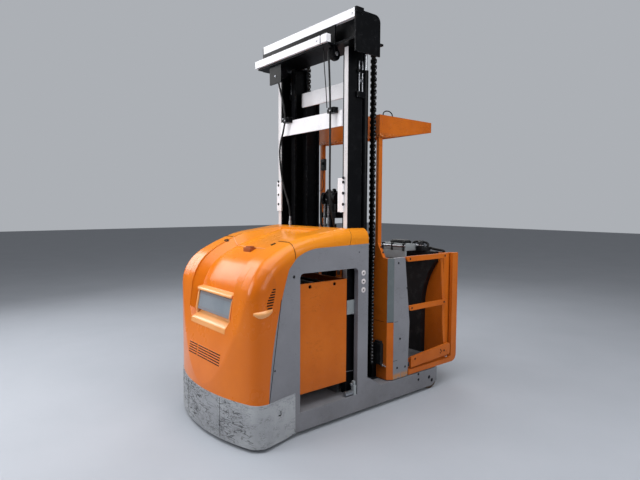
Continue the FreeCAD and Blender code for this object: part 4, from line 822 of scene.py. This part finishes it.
def addHoodFittings():
    latch, dark = Shape(), Shape()
    latch.blocks(hoodFittings["latch"]).lathe(*hoodFittings["knob"])
    latch.finish("hood_latch", "latch")
    for first, last, tall in hoodFittings["grips"]:
        start, end = [seenOn(("hood", "rear_cover"), pixel) for pixel in (first, last)]
        normal = (start[1] + end[1]).normalized()
        across = normal.cross((end[0] - start[0]).normalized()).normalized() * tall / 2
        corners = [start[0] - across, end[0] - across, end[0] + across, start[0] + across]
        sunk = [corner - normal * hoodFittings["gripSink"] for corner in corners]
        dark.plate(sunk, normal * hoodFittings["gripThick"], 0.0015)
    dark.finish("hood_grip_slots", "void")


# Upright seams, and a curved seam and a hook at places on the enlarged photo.
skirt = {"seams": (-0.237, 0.237), "low": 0.035, "high": 0.296, "gap": 0.0035, "grid": (12, 3),
         "arc": ((716, 1470), (752, 1458), (800, 1462), (838, 1490), (858, 1540), (868, 1578)),
         "arcRadius": 0.0022,
         "hook": ((806, 1530), (808, 1556), (800, 1566), (790, 1560)), "hookRadius": 0.0032}


def addSkirtLines():
    lines = Shape()
    for y in skirt["seams"]:
        corners = upright("x", -1.12, y - skirt["gap"] / 2, y + skirt["gap"] / 2, skirt["low"], skirt["high"])
        lines.patch("bumper_skirt", corners, forwards, skirt["grid"], 0.0006, 0.002)
    side = [seenOn(("bumper_skirt", "side_frame_near"), enlarged(*place)) for place in skirt["arc"]]
    arc = [place + normal * 0.0002 for place, normal in side]
    hook = [seen("bumper_skirt", enlarged(*place))[0] for place in skirt["hook"]]
    for path, radius, steps in ((arc, skirt["arcRadius"], 5), (hook, skirt["hookRadius"], 6)):
        lines.sweep(path, radius, 8, steps).sweep(flipped(path), radius, 8, steps)
    lines.finish("skirt_seams", "void")


# Blank round plates on the photo's side, and screws as length, height and radius.
frameMarks = {"x": -0.080, "heights": (1.059, 0.996, 0.933), "radius": 0.0205, "centre": 0.006,
              "screws": ((-0.713, 1.085, 0.010), (-0.885, 0.504, 0.006), (-0.125, 1.215, 0.004))}


def addFrameMarks():
    pale, rings, screws = Shape(), Shape(), Shape()
    radius, centre = frameMarks["radius"], frameMarks["centre"]
    for z in frameMarks["heights"]:
        place, normal = onSide("side_frame_near", frameMarks["x"], z)
        pale.lathe(place, normal, [(-0.001, radius), (0.0012, radius), (0.0016, radius - 0.001)], 40)
        rings.lathe(place, normal, [(0.0012, centre), (0.0024, centre), (0.0028, centre - 0.001)])
    for x, z, radius in frameMarks["screws"]:
        place, normal = onSide("side_frame_near", x, z)
        screws.lathe(place, normal, [(-0.001, radius), (0.0015, radius), (0.003, radius * 0.8),
                                     (0.003, radius * 0.4), (0.001, radius * 0.35)])
    pale.finish("side_plates", "disc")
    rings.mirror().finish("side_plate_centres", "cast_iron")
    screws.mirror().finish("frame_screws", "cast_iron")


# Brackets, the roller that stops the battery, its knobs and the pull rod.
bay = {
    "brackets": (((-0.204, -0.4598, 0.757), (-0.085, -0.4530, 0.862), 0.002),
                 ((-0.168, -0.500, 0.156), (-0.142, -0.468, 0.232), 0.003),
                 ((-0.162, -0.492, 0.226), (-0.144, -0.470, 0.262), 0.002)),
    "roller": ((-0.240, -0.480, 0.181), (-0.168, -0.480, 0.181), 0.019, 28),
    "knobs": (((-0.168, -0.480, 0.240), backwards, ((-0.002, 0.012), (0.010, 0.012), (0.014, 0.009)), 24),
              ((-0.146, -0.4598, 0.760), (0, -1, 0), ((-0.003, 0.007), (0.004, 0.007), (0.006, 0.005)), 20)),
    "pull": ((-0.205, -0.4565, 0.336), (-0.140, -0.4565, 0.330), 0.0032, 12),
}


def addBayFittings():
    plates, bright = Shape(), Shape()
    plates.blocks(bay["brackets"])
    bright.rod(*bay["roller"]).lathes(bay["knobs"]).rod(*bay["pull"])
    plates.mirror().finish("battery_stop_brackets", "silver")
    bright.mirror().finish("battery_stop_rollers", "bright_steel")


battery = {"low": (-0.642, -0.440), "high": (-0.218, 0.440), "top": 0.952, "rows": 5, "columns": 11,
           "gap": 0.0015, "lid": 0.026,
           "capRows": (("first", 0), ("second", 2), ("third", 4)), "cableRows": (1, 3),
           "cap": ((0, 0.016), (0.010, 0.016), (0.014, 0.012), (0.014, 0.0)), "cable": 0.009,
           "cableRise": (0.020, 0.040, 0.044)}


# Cell lids, filler caps and the two main cables on top of the battery.
def addBatteryTop():
    (x0, y0), (x1, y1), top, gap = battery["low"], battery["high"], battery["top"], battery["gap"]
    lids, cables = Shape(), Shape()
    wide, long = (x1 - x0) / battery["rows"], (y1 - y0) / battery["columns"]
    for i in range(battery["rows"]):
        for k in range(battery["columns"]):
            x, y = x0 + wide * i, y0 + long * k
            high = (x + wide - gap, y + long - gap, top + battery["lid"])
            lids.block((x + gap, y + gap, top - 0.001), high, 0.004)
    lids.finish("battery_cell_lids", "battery_block")
    for name, i in battery["capRows"]:
        place = (x0 + wide * (i + 0.5), y0 + long * 0.5, top + 0.024)
        cap = Shape().lathe(place, upwards, battery["cap"], 20)
        repeated("battery_caps_" + name, cap, (0, long, 0), battery["columns"], "black_plastic", "chassis")
    foot, rise, crown = [top + height for height in battery["cableRise"]]
    for i in battery["cableRows"]:
        x = x0 + wide * (i + 0.5)
        cables.sweep([(x, y0 + 0.03, foot), (x, y0 + 0.06, rise), (x + 0.01, 0.0, crown),
                      (x, y1 - 0.06, rise), (x, y1 - 0.03, foot)], battery["cable"])
    cables.finish("battery_cables", "rubber")


# Length, height and head radius of each bolt.
legBolts = ((0.563, 0.164, 0.008), (0.565, 0.117, 0.008), (0.703, 0.108, 0.011), (0.740, 0.076, 0.011))


def addLegBolts():
    shape = Shape()
    for x, z, radius in legBolts:
        shape.bolt(*onSide("leg_near", x, z), radius, 0.005)
    shape.mirror().finish("leg_bolts", "cast_iron")


addLouvres()
addScoops()
addBadge()
addCoverSeams()
addHoodFittings()
addSkirtLines()
addFrameMarks()
addBayFittings()
addBatteryTop()
addLegBolts()
print("drive unit pieces made")

# The two hoses keep to the chassis up to their grips. Above them they run on up to the head.
hoses = {
    "radius": 0.0075,
    "cableRadius": 0.0035,
    "fixed": (((-0.150, -0.300, 1.06), (-0.150, -0.302, 1.26), (-0.205, -0.306, 1.42), (-0.243, -0.307, 1.60),
               (-0.246, -0.307, 1.95), (-0.246, -0.307, 2.24)),
              ((-0.212, 0.236, 1.45), (-0.217, 0.246, 1.55), (-0.232, 0.318, 1.76), (-0.245, 0.338, 2.00),
               (-0.246, 0.284, 2.16), (-0.246, 0.256, 2.24))),
    "near_top": ((-0.246, -0.307, 2.24), (-0.255, -0.312, 2.40), (-0.272, -0.322, 2.56),
                 (-0.280, -0.325, 2.636), (-0.266, -0.325, 2.672), (-0.235, -0.325, 2.683)),
    "far_top": ((-0.246, 0.256, 2.24), (-0.252, 0.272, 2.36), (-0.268, 0.312, 2.53), (-0.280, 0.325, 2.636),
                (-0.266, 0.325, 2.672), (-0.235, 0.325, 2.683)),
    "cable": ((-0.246, -0.270, 2.262), (-0.250, -0.262, 2.40), (-0.255, -0.250, 2.55),
              (-0.262, -0.245, 2.690)),
    "held": 2.60,  # a height up the rising hoses
    "fittings": (((-0.212, 0.236, 1.375), upwards, ((0, 0.010), (0.02, 0.010), (0.022, 0.014), (0.045, 0.014),
                                                    (0.047, 0.009), (0.085, 0.009)), 18),
                 ((-0.150, -0.300, 1.030), upwards, ((0, 0.012), (0.03, 0.012), (0.032, 0.009),
                                                     (0.07, 0.009)), 18)),
    "grips": (-0.307, 0.256),
    "gripLow": (-0.262, -0.020, 2.226), "gripHigh": (-0.243, 0.020, 2.258),
    "gripBolts": ((-0.2615, 0.013, 2.250), (-0.2615, -0.013, 2.234)),
}


def addHoses():
    rubber, ends, grips = Shape(), Shape(), Shape()
    for points in hoses["fixed"]:
        rubber.sweep(points, hoses["radius"])
    for name in ("near_top", "far_top", "cable"):
        radius = hoses["cableRadius"] if name == "cable" else hoses["radius"]
        piece = Shape().sweep(hoses[name], radius, 12, 10).finish("rising_hose_" + name, "rubber", None)
        x, y, z = hoses[name][0]
        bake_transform(piece)
    ends.lathes(hoses["fittings"])
    for y in hoses["grips"]:
        across = Vector((0, y, 0))
        grips.block(Vector(hoses["gripLow"]) + across, Vector(hoses["gripHigh"]) + across, 0.003)
        for place in hoses["gripBolts"]:
            ends.bolt(Vector(place) + across, backwards, 0.0045, 0.004)
    rubber.finish("mast_hoses", "rubber")
    ends.finish("hose_fittings", "bright_steel")
    grips.finish("hose_grips", "black_plastic")


head = {
    "beamBolts": ((-0.330, 0.520, 2.728), (-0.330, -0.250, 2.728), (-0.253, 0.540, 2.860),
                  (-0.253, -0.540, 2.860)),
    "cheekScrews": ((-0.200, 2.850), (-0.070, 2.850), (-0.070, 2.720), (-0.200, 2.720)),
    "screw": ((-0.001, 0.010), (0.0003, 0.010), (0.0003, 0.004), (-0.0008, 0.0038)),
    "deckBolt": (0.336, 2.600),
    "chainY": 0.372, "rodX": (-0.100, -0.060), "rod": (2.470, 2.686, 0.0055),
    "nuts": ((2.560, 0.012), (2.575, 0.009)), "nutRadius": 0.011,
    "clevis": ((-0.118, -0.012, 2.440), (-0.042, 0.012, 2.480)),
    "stud": ((-0.225, 0.352, 2.636), ((0, 0.016), (0.004, 0.016), (0.006, 0.008))),
    "hoseBox": ((-0.186, -0.564, 2.699), (-0.078, -0.290, 2.886), 0.004),
}


# The head's bolts, chain ends and adjusters.
def addHeadFittings():
    steels, blacks, whites = Shape(), Shape(), Shape()
    for place in head["beamBolts"]:
        whites.bolt(place, backwards, 0.007, 0.005)
    for side in (-1, 1):
        for x, z in head["cheekScrews"]:
            blacks.lathe(*onSide("head_cheeks", x, z, side), head["screw"], 20)
    steels.bolt(*meet("head_deck", (-0.6, *head["deckBolt"]), forwards), 0.006, 0.005)
    low, high, radius = head["rod"]
    nut = head["nutRadius"]
    for side in (-1, 1):
        y = side * head["chainY"]
        for x in head["rodX"]:
            steels.rod((x, y, low), (x, y, high), radius, 12)
            for z, tall in head["nuts"]:
                steels.lathe((x, y, z), upwards, [(0, nut), (tall, nut)], 6)
        across = Vector((0, y, 0))
        blacks.block(*[Vector(corner) + across for corner in head["clevis"]], 0.003)
        (x, y, z), profile = head["stud"]
        steels.lathe((x, side * y, z), (0, side, 0), profile)
    blacks.block(*head["hoseBox"])
    steels.finish("head_chain_ends", "bright_steel", "mast_middle")
    blacks.finish("head_bolts", "mast_black", "mast_middle")
    # the bolts on the beams take the beams' white, a painted reflection
    whites.finish("beam_bolts", "white_enamel", "mast_middle")


leafLink = {"pitch": 0.0254, "plate": 0.0092, "thin": 0.0022, "waist": 0.72, "pin": 0.0036, "pinOut": 0.003}


# One pitch of a leaf chain, standing along z.
def chainLink(x, y, z, wide, count):
    shape, pitch, plate, thin = Shape(), leafLink["pitch"], leafLink["plate"], leafLink["thin"]
    for k in range(count):
        middle = y - wide / 2 + wide * k / (count - 1)
        start = z if k % 2 else z + pitch * 0.5
        for end in (start, start + pitch * 0.5):
            shape.lathe((x, middle - thin / 2, end), inwards, [(0, plate), (thin, plate)], 12)
        half, top = plate * leafLink["waist"], start + pitch * 0.5
        shape.block((x - half, middle - thin / 2, start), (x + half, middle + thin / 2, top), 0)
    reach = wide / 2 + leafLink["pinOut"]
    for height in (z, z + pitch * 0.5):
        shape.rod((x, y - reach, height), (x, y + reach, height), leafLink["pin"], 8)
    return shape


leafChains = {"strands": (("near", -0.020), ("far", 0.030)), "x": -0.012, "foot": 1.30, "wide": 0.016,
              "plates": 4, "links": 10}


# Bright leaf chains over the crosshead's pulleys.
def addCrossheadChains():
    for name, y in leafChains["strands"]:
        shape = chainLink(leafChains["x"], y, leafChains["foot"], leafChains["wide"], leafChains["plates"])
        repeated("crosshead_chain_" + name, shape, (0, 0, leafLink["pitch"]), leafChains["links"],
                 "bright_steel", "crosshead")


crosshead = {
    "cap": (((0.010, -0.080, 1.470), (0.064, 0.084, 1.650), 0.016),
            ((0.014, -0.052, 1.640), (0.060, 0.056, 1.672), 0.012)),
    "knobs": (((0.037, -0.030, 1.672), upwards, ((-0.004, 0.016), (0.010, 0.016), (0.016, 0.009),
                                                 (0.017, 0.0)), 20),
              ((0.037, 0.034, 1.672), upwards, ((-0.004, 0.020), (0.006, 0.020), (0.012, 0.014)), 20)),
    "pins": tuple(((0.035, side * 0.088, 1.590), (0, side, 0), ((-0.004, 0.013), (0.006, 0.013),
                                                                (0.009, 0.009)), 20) for side in (-1, 1)),
    "bolts": ((0.012, -0.040, 1.600), (0.012, 0.040, 1.600)),
    "hoses": ((((0.020, 0.070, 1.640), (-0.002, 0.080, 1.648), (-0.010, 0.087, 1.580), (-0.010, 0.088, 1.470),
                (-0.006, 0.084, 1.400), (0.010, 0.070, 1.352)), 0.006),
              (((0.020, 0.050, 1.632), (-0.002, 0.058, 1.636), (-0.011, 0.068, 1.560), (-0.011, 0.072, 1.460),
                (-0.006, 0.066, 1.390), (0.010, 0.050, 1.345)), 0.0045)),
}


def addCrossheadPieces():
    blacks, steels, pipes = Shape(), Shape(), Shape()
    blacks.blocks(crosshead["cap"]).lathes(crosshead["knobs"])
    steels.lathes(crosshead["pins"])
    for place in crosshead["bolts"]:
        steels.bolt(place, backwards, 0.006, 0.005)
    for points, radius in crosshead["hoses"]:
        pipes.sweep(points, radius, 10)
    blacks.finish("crosshead_cap", "mast_black", "crosshead")
    steels.finish("crosshead_pins", "bright_steel", "crosshead")
    pipes.finish("crosshead_hoses", "rubber", "crosshead")


# Brackets as their x, their reach in y from the rail and their z.
anchor = {"rail": 0.4362, "brackets": (((-0.110, -0.040), 0.452, (2.505, 2.530)),
                                       ((-0.120, -0.036), 0.458, (2.330, 2.372))),
          "rodX": (-0.092, -0.060), "y": 0.445, "rod": (2.372, 2.590, 0.0055), "nuts": (2.532, 2.546, 2.470),
          "nut": (0.0085, 0.010), "bar": ((-0.098, -0.006, 2.440), (-0.054, 0.006, 2.462)),
          "plateBolts": (1.560, 1.640, 1.720, 1.800), "plateY": 0.420}


# Chain anchors with their adjusting nuts on the outer rails' upper ends.
def addRailAnchors():
    blacks, steels, marks = Shape(), Shape(), Shape()
    low, high, rodRadius = anchor["rod"]
    nutRadius, nutTall = anchor["nut"]
    for side in (-1, 1):
        for (x0, x1), reach, (z0, z1) in anchor["brackets"]:
            y0, y1 = sorted((side * anchor["rail"], side * reach))
            blacks.block((x0, y0, z0), (x1, y1, z1), 0.003)
        y = side * anchor["y"]
        for x in anchor["rodX"]:
            steels.rod((x, y, low), (x, y, high), rodRadius, 12)
            for z in anchor["nuts"]:
                steels.lathe((x, y, z), upwards, [(0, nutRadius), (nutTall, nutRadius)], 6)
        steels.block(*[Vector(corner) + Vector((0, y, 0)) for corner in anchor["bar"]], 0.003)
        for z in anchor["plateBolts"]:
            marks.bolt(*meet("outer_mast_plates", (-0.6, side * anchor["plateY"], z), forwards), 0.008, 0.005)
    blacks.finish("rail_anchor_brackets", "mast_black")
    steels.finish("rail_anchor_rods", "bright_steel")
    marks.finish("rail_plate_bolts", "cast_iron")


chainPins = {"x": 0.100, "y": 0.400, "reach": 0.0225, "foot": 0.340, "radius": 0.0042, "count": 95}


# Bright edges of the lift chains: pins that show beside the strands.
def addChainPins():
    x, z, reach = chainPins["x"], chainPins["foot"], chainPins["reach"]
    for side, name in ((-1, "near"), (1, "far")):
        y = side * chainPins["y"]
        pin = Shape().rod((x, y - reach, z), (x, y + reach, z), chainPins["radius"], 10)
        repeated("lift_chain_pins_" + name, pin, (0, 0, leafLink["pitch"]), chainPins["count"],
                 "bright_steel", "mast_middle")


guard = {
    "loop": (((0.240, -0.369, 2.250), (0.246, -0.368, 2.272), (0.272, -0.366, 2.288), (0.312, -0.366, 2.290),
              (0.340, -0.368, 2.274), (0.348, -0.369, 2.248)), 0.0045, 10),
    "lead": (((0.206, 0.315, 1.862), (0.202, 0.318, 1.800), (0.200, 0.300, 1.740), (0.206, 0.330, 1.690),
              (0.212, 0.385, 1.680)), 0.003, 8),
    "box": ((0.196, 0.285, 1.860), (0.218, 0.345, 1.960), 0.005),
    "button": ((0.197, 0.315, 1.925), backwards, ((-0.002, 0.015), (0.010, 0.015), (0.013, 0.011)), 20),
    "footBolts": ((0.228, 1.185), (0.228, 1.225), (0.262, 1.165)),
    "boltNodes": ("guard_posts", "corner_panels", "mast_side_wall"),
}


# The guard's cables, its switch box and the bolts at the posts' feet.
def addGuardPieces():
    cable, box, rivets = Shape(), Shape(), Shape()
    cable.sweep(*guard["loop"]).sweep(*guard["lead"])
    box.block(*guard["box"]).lathe(*guard["button"])
    cable.finish("guard_cables", "rubber", "cabin")
    box.finish("guard_switch_box", "black_plastic", "cabin")
    for side in (-1, 1):
        for x, z in guard["footBolts"]:
            for name in guard["boltNodes"]:
                place, normal = onSide(name, x, z, side)
                if abs(place.x - x) < 0.004 and abs(place.z - z) < 0.004:
                    rivets.bolt(place, normal, 0.006, 0.004)
                    break
    rivets.finish("guard_foot_bolts", "cast_iron", "cabin")


seams = {"heights": (0.640, 0.330), "gap": 0.003, "wall": (0.2, 0.49), "wallGrid": (2, 20),
         "corner": (0.215, 0.300), "cornerGrid": (2, 6), "reach": 0.0004, "sink": 0.001}


def addCabinSeams():
    lines, (wallX, wallY), reach, sink = Shape(), seams["wall"], seams["reach"], seams["sink"]
    for z in seams["heights"]:
        high = z + seams["gap"]
        corners = upright("x", wallX, -wallY, wallY, z, high)
        lines.patch("mast_side_wall", corners, forwards, seams["wallGrid"], reach, sink)
        for side in (-1, 1):
            corners = upright("y", side * 0.55, *seams["corner"], z, high)
            lines.patch("corner_panels", corners, (0, -side, 0), seams["cornerGrid"], reach, sink)
    lines.finish("wall_seams", "void", "cabin")


cabinBolts = {
    "radius": 0.0065, "height": 0.004,
    "corner": ((0.300, 1.105), (0.415, 0.900), (0.300, 0.270), (0.395, 0.262), (0.330, 0.500)),
    "gate": (("lower", 0.905, 0.300), ("lower", 0.520, 0.300), ("upper", 0.890, 1.128),
             ("upper", 0.440, 1.128), ("middle", 0.890, 0.728), ("middle", 0.470, 0.728)),
    "toeHoles": ((0.852, 0.288), (0.868, 0.300), (0.856, 0.314)),
}


def addCabinBolts():
    dark, marks = Shape(), Shape()
    radius, height = cabinBolts["radius"], cabinBolts["height"]
    for x, z in cabinBolts["corner"]:
        place, normal = onSide("corner_panels", x, z)
        if abs(place.y) > 0.42:
            dark.bolt(place, normal, radius, height)
    for rail, x, z in cabinBolts["gate"]:
        for name, side in (("near", -1), ("far", 1)):
            node = f"gate_{rail}_{name}"
            bolt = Shape().bolt(*onSide(node, x, z, side), radius, height)
            bolt.finish(f"{node}_bolt_{round(x * 1000)}", "cast_iron", node)
    for x, z in cabinBolts["toeHoles"]:
        marks.lathe(*onSide("gate_lower_near", x, z), [(-0.001, radius), (0.0008, radius)], 16)
    marks.finish("toe_panel_holes", "void", "gate_lower_near")
    dark.mirror().finish("corner_panel_bolts", "cast_iron", "cabin")


wallFittings = {
    "box": (((0.176, -0.436, 0.300), (0.2085, -0.350, 0.470), 0.006),
            ((0.184, -0.426, 0.468), (0.2085, -0.360, 0.486), 0.004)),
    "catch": ((0.196, -0.470, 0.295), (0.196, -0.395, 0.302), 0.006, 14),
    "catchKnob": ((0.200, -0.440, 0.298), backwards, ((-0.01, 0.011), (0.012, 0.011), (0.015, 0.008)), 20),
}


def addCabinFittings():
    box, bright = Shape(), Shape()
    box.blocks(wallFittings["box"])
    bright.rod(*wallFittings["catch"]).lathe(*wallFittings["catchKnob"])
    box.finish("wall_junction_box", "black_plastic", "cabin")
    bright.finish("wall_safety_catch", "bright_steel", "cabin")


desk = {
    "housing": (((0.722, -0.200, 1.152), (0.868, 0.100, 1.208), 0.010),
                ((0.735, -0.188, 1.206), (0.855, 0.088, 1.216), 0.004)),
    "apron": ((0.7225, -0.196, 1.082), (0.745, 0.098, 1.156), 0.005),
    "tray": (((0.717, 0.100, 1.150), (0.983, 0.279, 1.180), 0.008),
             ((0.740, 0.120, 1.178), (0.960, 0.262, 1.188), 0.005),
             ((0.868, -0.272, 1.150), (0.983, 0.100, 1.186), 0.006)),
    "trimRod": ((0.7215, -0.190, 1.196), (0.7215, 0.090, 1.196), 0.0062, 20),
    "trim": ((0.7165, -0.196, 1.188), (0.728, 0.096, 1.204), 0.003),
    "clips": tuple(((0.7155, y - 0.010, 1.153), (0.742, y + 0.010, 1.219), 0.003)
                   for y in (-0.176, -0.040, 0.074)),
    "pad": (((0.770, -0.150, 1.214), (0.862, 0.030, 1.238), 0.009),
            ((0.780, -0.140, 1.236), (0.852, 0.020, 1.244), 0.006)),
    "steerKnob": ((0.888, -0.232, 1.182), upwards,
                  ((0, 0.038), (0.012, 0.038), (0.016, 0.032), (0.020, 0.032), (0.036, 0.028), (0.050, 0.024),
                   (0.056, 0.014), (0.057, 0.0)), 32),
    "knobRing": ((0.888, -0.232, 1.196), upwards,
                 ((0, 0.040), (0.002, 0.042), (0.008, 0.042), (0.010, 0.039)), 40),
    "handle": (((0.940, -0.262, 1.180), (0.950, -0.266, 1.205), (0.950, -0.240, 1.222),
                (0.948, -0.180, 1.228), (0.948, -0.120, 1.222), (0.950, -0.094, 1.205),
                (0.944, -0.088, 1.180)), 0.011, 14),
    "buttons": tuple(((0.770 + 0.020 * k, 0.058, 1.215), upwards,
                      ((-0.002, 0.006), (0.004, 0.006), (0.006, 0.004)), 16) for k in range(4)),
}


def addDesk():
    silver, chrome, dark, soft = Shape(), Shape(), Shape(), Shape()
    silver.blocks(desk["housing"])
    Shape().block(*desk["apron"]).finish("desk_apron", "silver", "cabin")
    dark.blocks(desk["tray"]).blocks(desk["clips"]).lathe(*desk["steerKnob"])
    chrome.rod(*desk["trimRod"]).block(*desk["trim"]).lathe(*desk["knobRing"]).lathes(desk["buttons"])
    soft.blocks(desk["pad"]).sweep(*desk["handle"])
    made = [silver.finish("desk_housing", "silver", "cabin"),
            chrome.finish("desk_trim", "bright_steel", "cabin"),
            dark.finish("desk_tray_and_knobs", "black_plastic", "cabin"),
            soft.finish("desk_pad_and_handle", "rubber", "cabin")]
    for piece in made:
        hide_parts("control_desk")


strap = {"points": ((0.968, -0.235, 1.160), (0.975, -0.262, 1.176), (0.978, -0.310, 1.168),
                    (0.978, -0.360, 1.164), (0.978, -0.400, 1.160), (0.978, -0.424, 1.150)), "radius": 0.012}


# A padded strap from the desk along the fork-side wall's top.
def addStrap():
    Shape().sweep(strap["points"], strap["radius"], 14).finish("wall_hand_strap", "rubber", "cabin")


addHoses()
addHeadFittings()
addRailAnchors()
addCrossheadPieces()
addCrossheadChains()
addChainPins()
addGuardPieces()
addCabinSeams()
addCabinBolts()
addCabinFittings()
addDesk()
addStrap()
print("mast and cabin pieces made")

stage = {
    "half": 30,
    "floor": ("#9ba0a8", "#a7abb3"),
    # place, watts, size and aim of each soft lamp
    "lamps": {
        "ceiling": ((-1.0, -1.0, 5.5), 270, (6.0, 5.0), (0, 0, 1.0)),
        "front": ((-5.0, 1.6, 2.7), 150, (3.0, 2.5), (0, 0, 1.0)),
        "side": ((0.5, -5.5, 3.0), 110, (3.0, 2.5), (0, 0, 1.0)),
        "back": ((3.5, 3.0, 4.0), 70, (3.0, 3.0), (0, 0, 1.0)),
        "window": ((-2.0, 4.4, 3.3), 85, (2.2, 2.8), (-0.98, -0.05, 1.1)),
    },
    "glow": {"strength": 0.55, "angle": 60, "tilt": (18, -12, 0)},
    "wall": "#c4c8ce",
    "wallLight": 0.22,  # what the world gives the truck
    "wallSeen": 0.75,  # what the camera sees of it
}


def addFloor():
    mesh = bpy.data.meshes.new("floor")
    half = stage["half"]
    corners = [(-half, -half, 0), (half, -half, 0), (half, half, 0), (-half, half, 0)]
    mesh.from_pydata(corners, [], [(0, 1, 2, 3)])
    floor = bpy.data.objects.new("floor", mesh)
    bpy.context.scene.collection.objects.link(floor)
    # smooth painted concrete: dull, with 770 mm clouds
    paint = Paint("pale_floor")
    cloud = paint.node("TexNoise", {"Vector": paint.place, "Scale": 1.3, "Detail": 5.0, "Roughness": 0.6})
    pale, paler = stage["floor"]
    mesh.materials.append(paint.finish(paint.lay(srgb(pale), paler, cloud), 0.55))


def addLamps():
    for name, (place, energy, size, aim) in stage["lamps"].items():
        data = bpy.data.lights.new(name, "AREA")
        data.energy = energy
        data.shape = "RECTANGLE"
        data.size, data.size_y = size
        lamp = bpy.data.objects.new(name, data)
        lamp.location = place
        lamp.rotation_euler = (Vector(aim) - Vector(place)).to_track_quat("-Z", "Y").to_euler()
        bpy.context.scene.collection.objects.link(lamp)
    # an even glow from above, which also reaches the far floor
    glow = bpy.data.objects.new("glow", bpy.data.lights.new("glow", "SUN"))
    glow.data.energy = stage["glow"]["strength"]
    glow.data.angle = math.radians(stage["glow"]["angle"])
    glow.rotation_euler = [math.radians(angle) for angle in stage["glow"]["tilt"]]
    bpy.context.scene.collection.objects.link(glow)


# The world lights the truck weakly and shows the camera a pale wall.
def addWorld():
    world = bpy.data.worlds.new("studio")
    world.use_nodes = True
    tree = world.node_tree
    sky = tree.nodes["Background"]
    sky.inputs["Color"].default_value = srgb(stage["wall"])
    ray, level = tree.nodes.new("ShaderNodeLightPath"), tree.nodes.new("ShaderNodeMapRange")
    level.inputs["To Min"].default_value = stage["wallLight"]
    level.inputs["To Max"].default_value = stage["wallSeen"]
    tree.links.new(ray.outputs["Is Camera Ray"], level.inputs["Value"])
    tree.links.new(level.outputs["Result"], sky.inputs["Strength"])
    bpy.context.scene.world = world


addFloor()
addLamps()
addWorld()
bpy.context.scene.view_settings.view_transform = "Standard"
print("stage and light set,", len(pieceNames), "pieces")
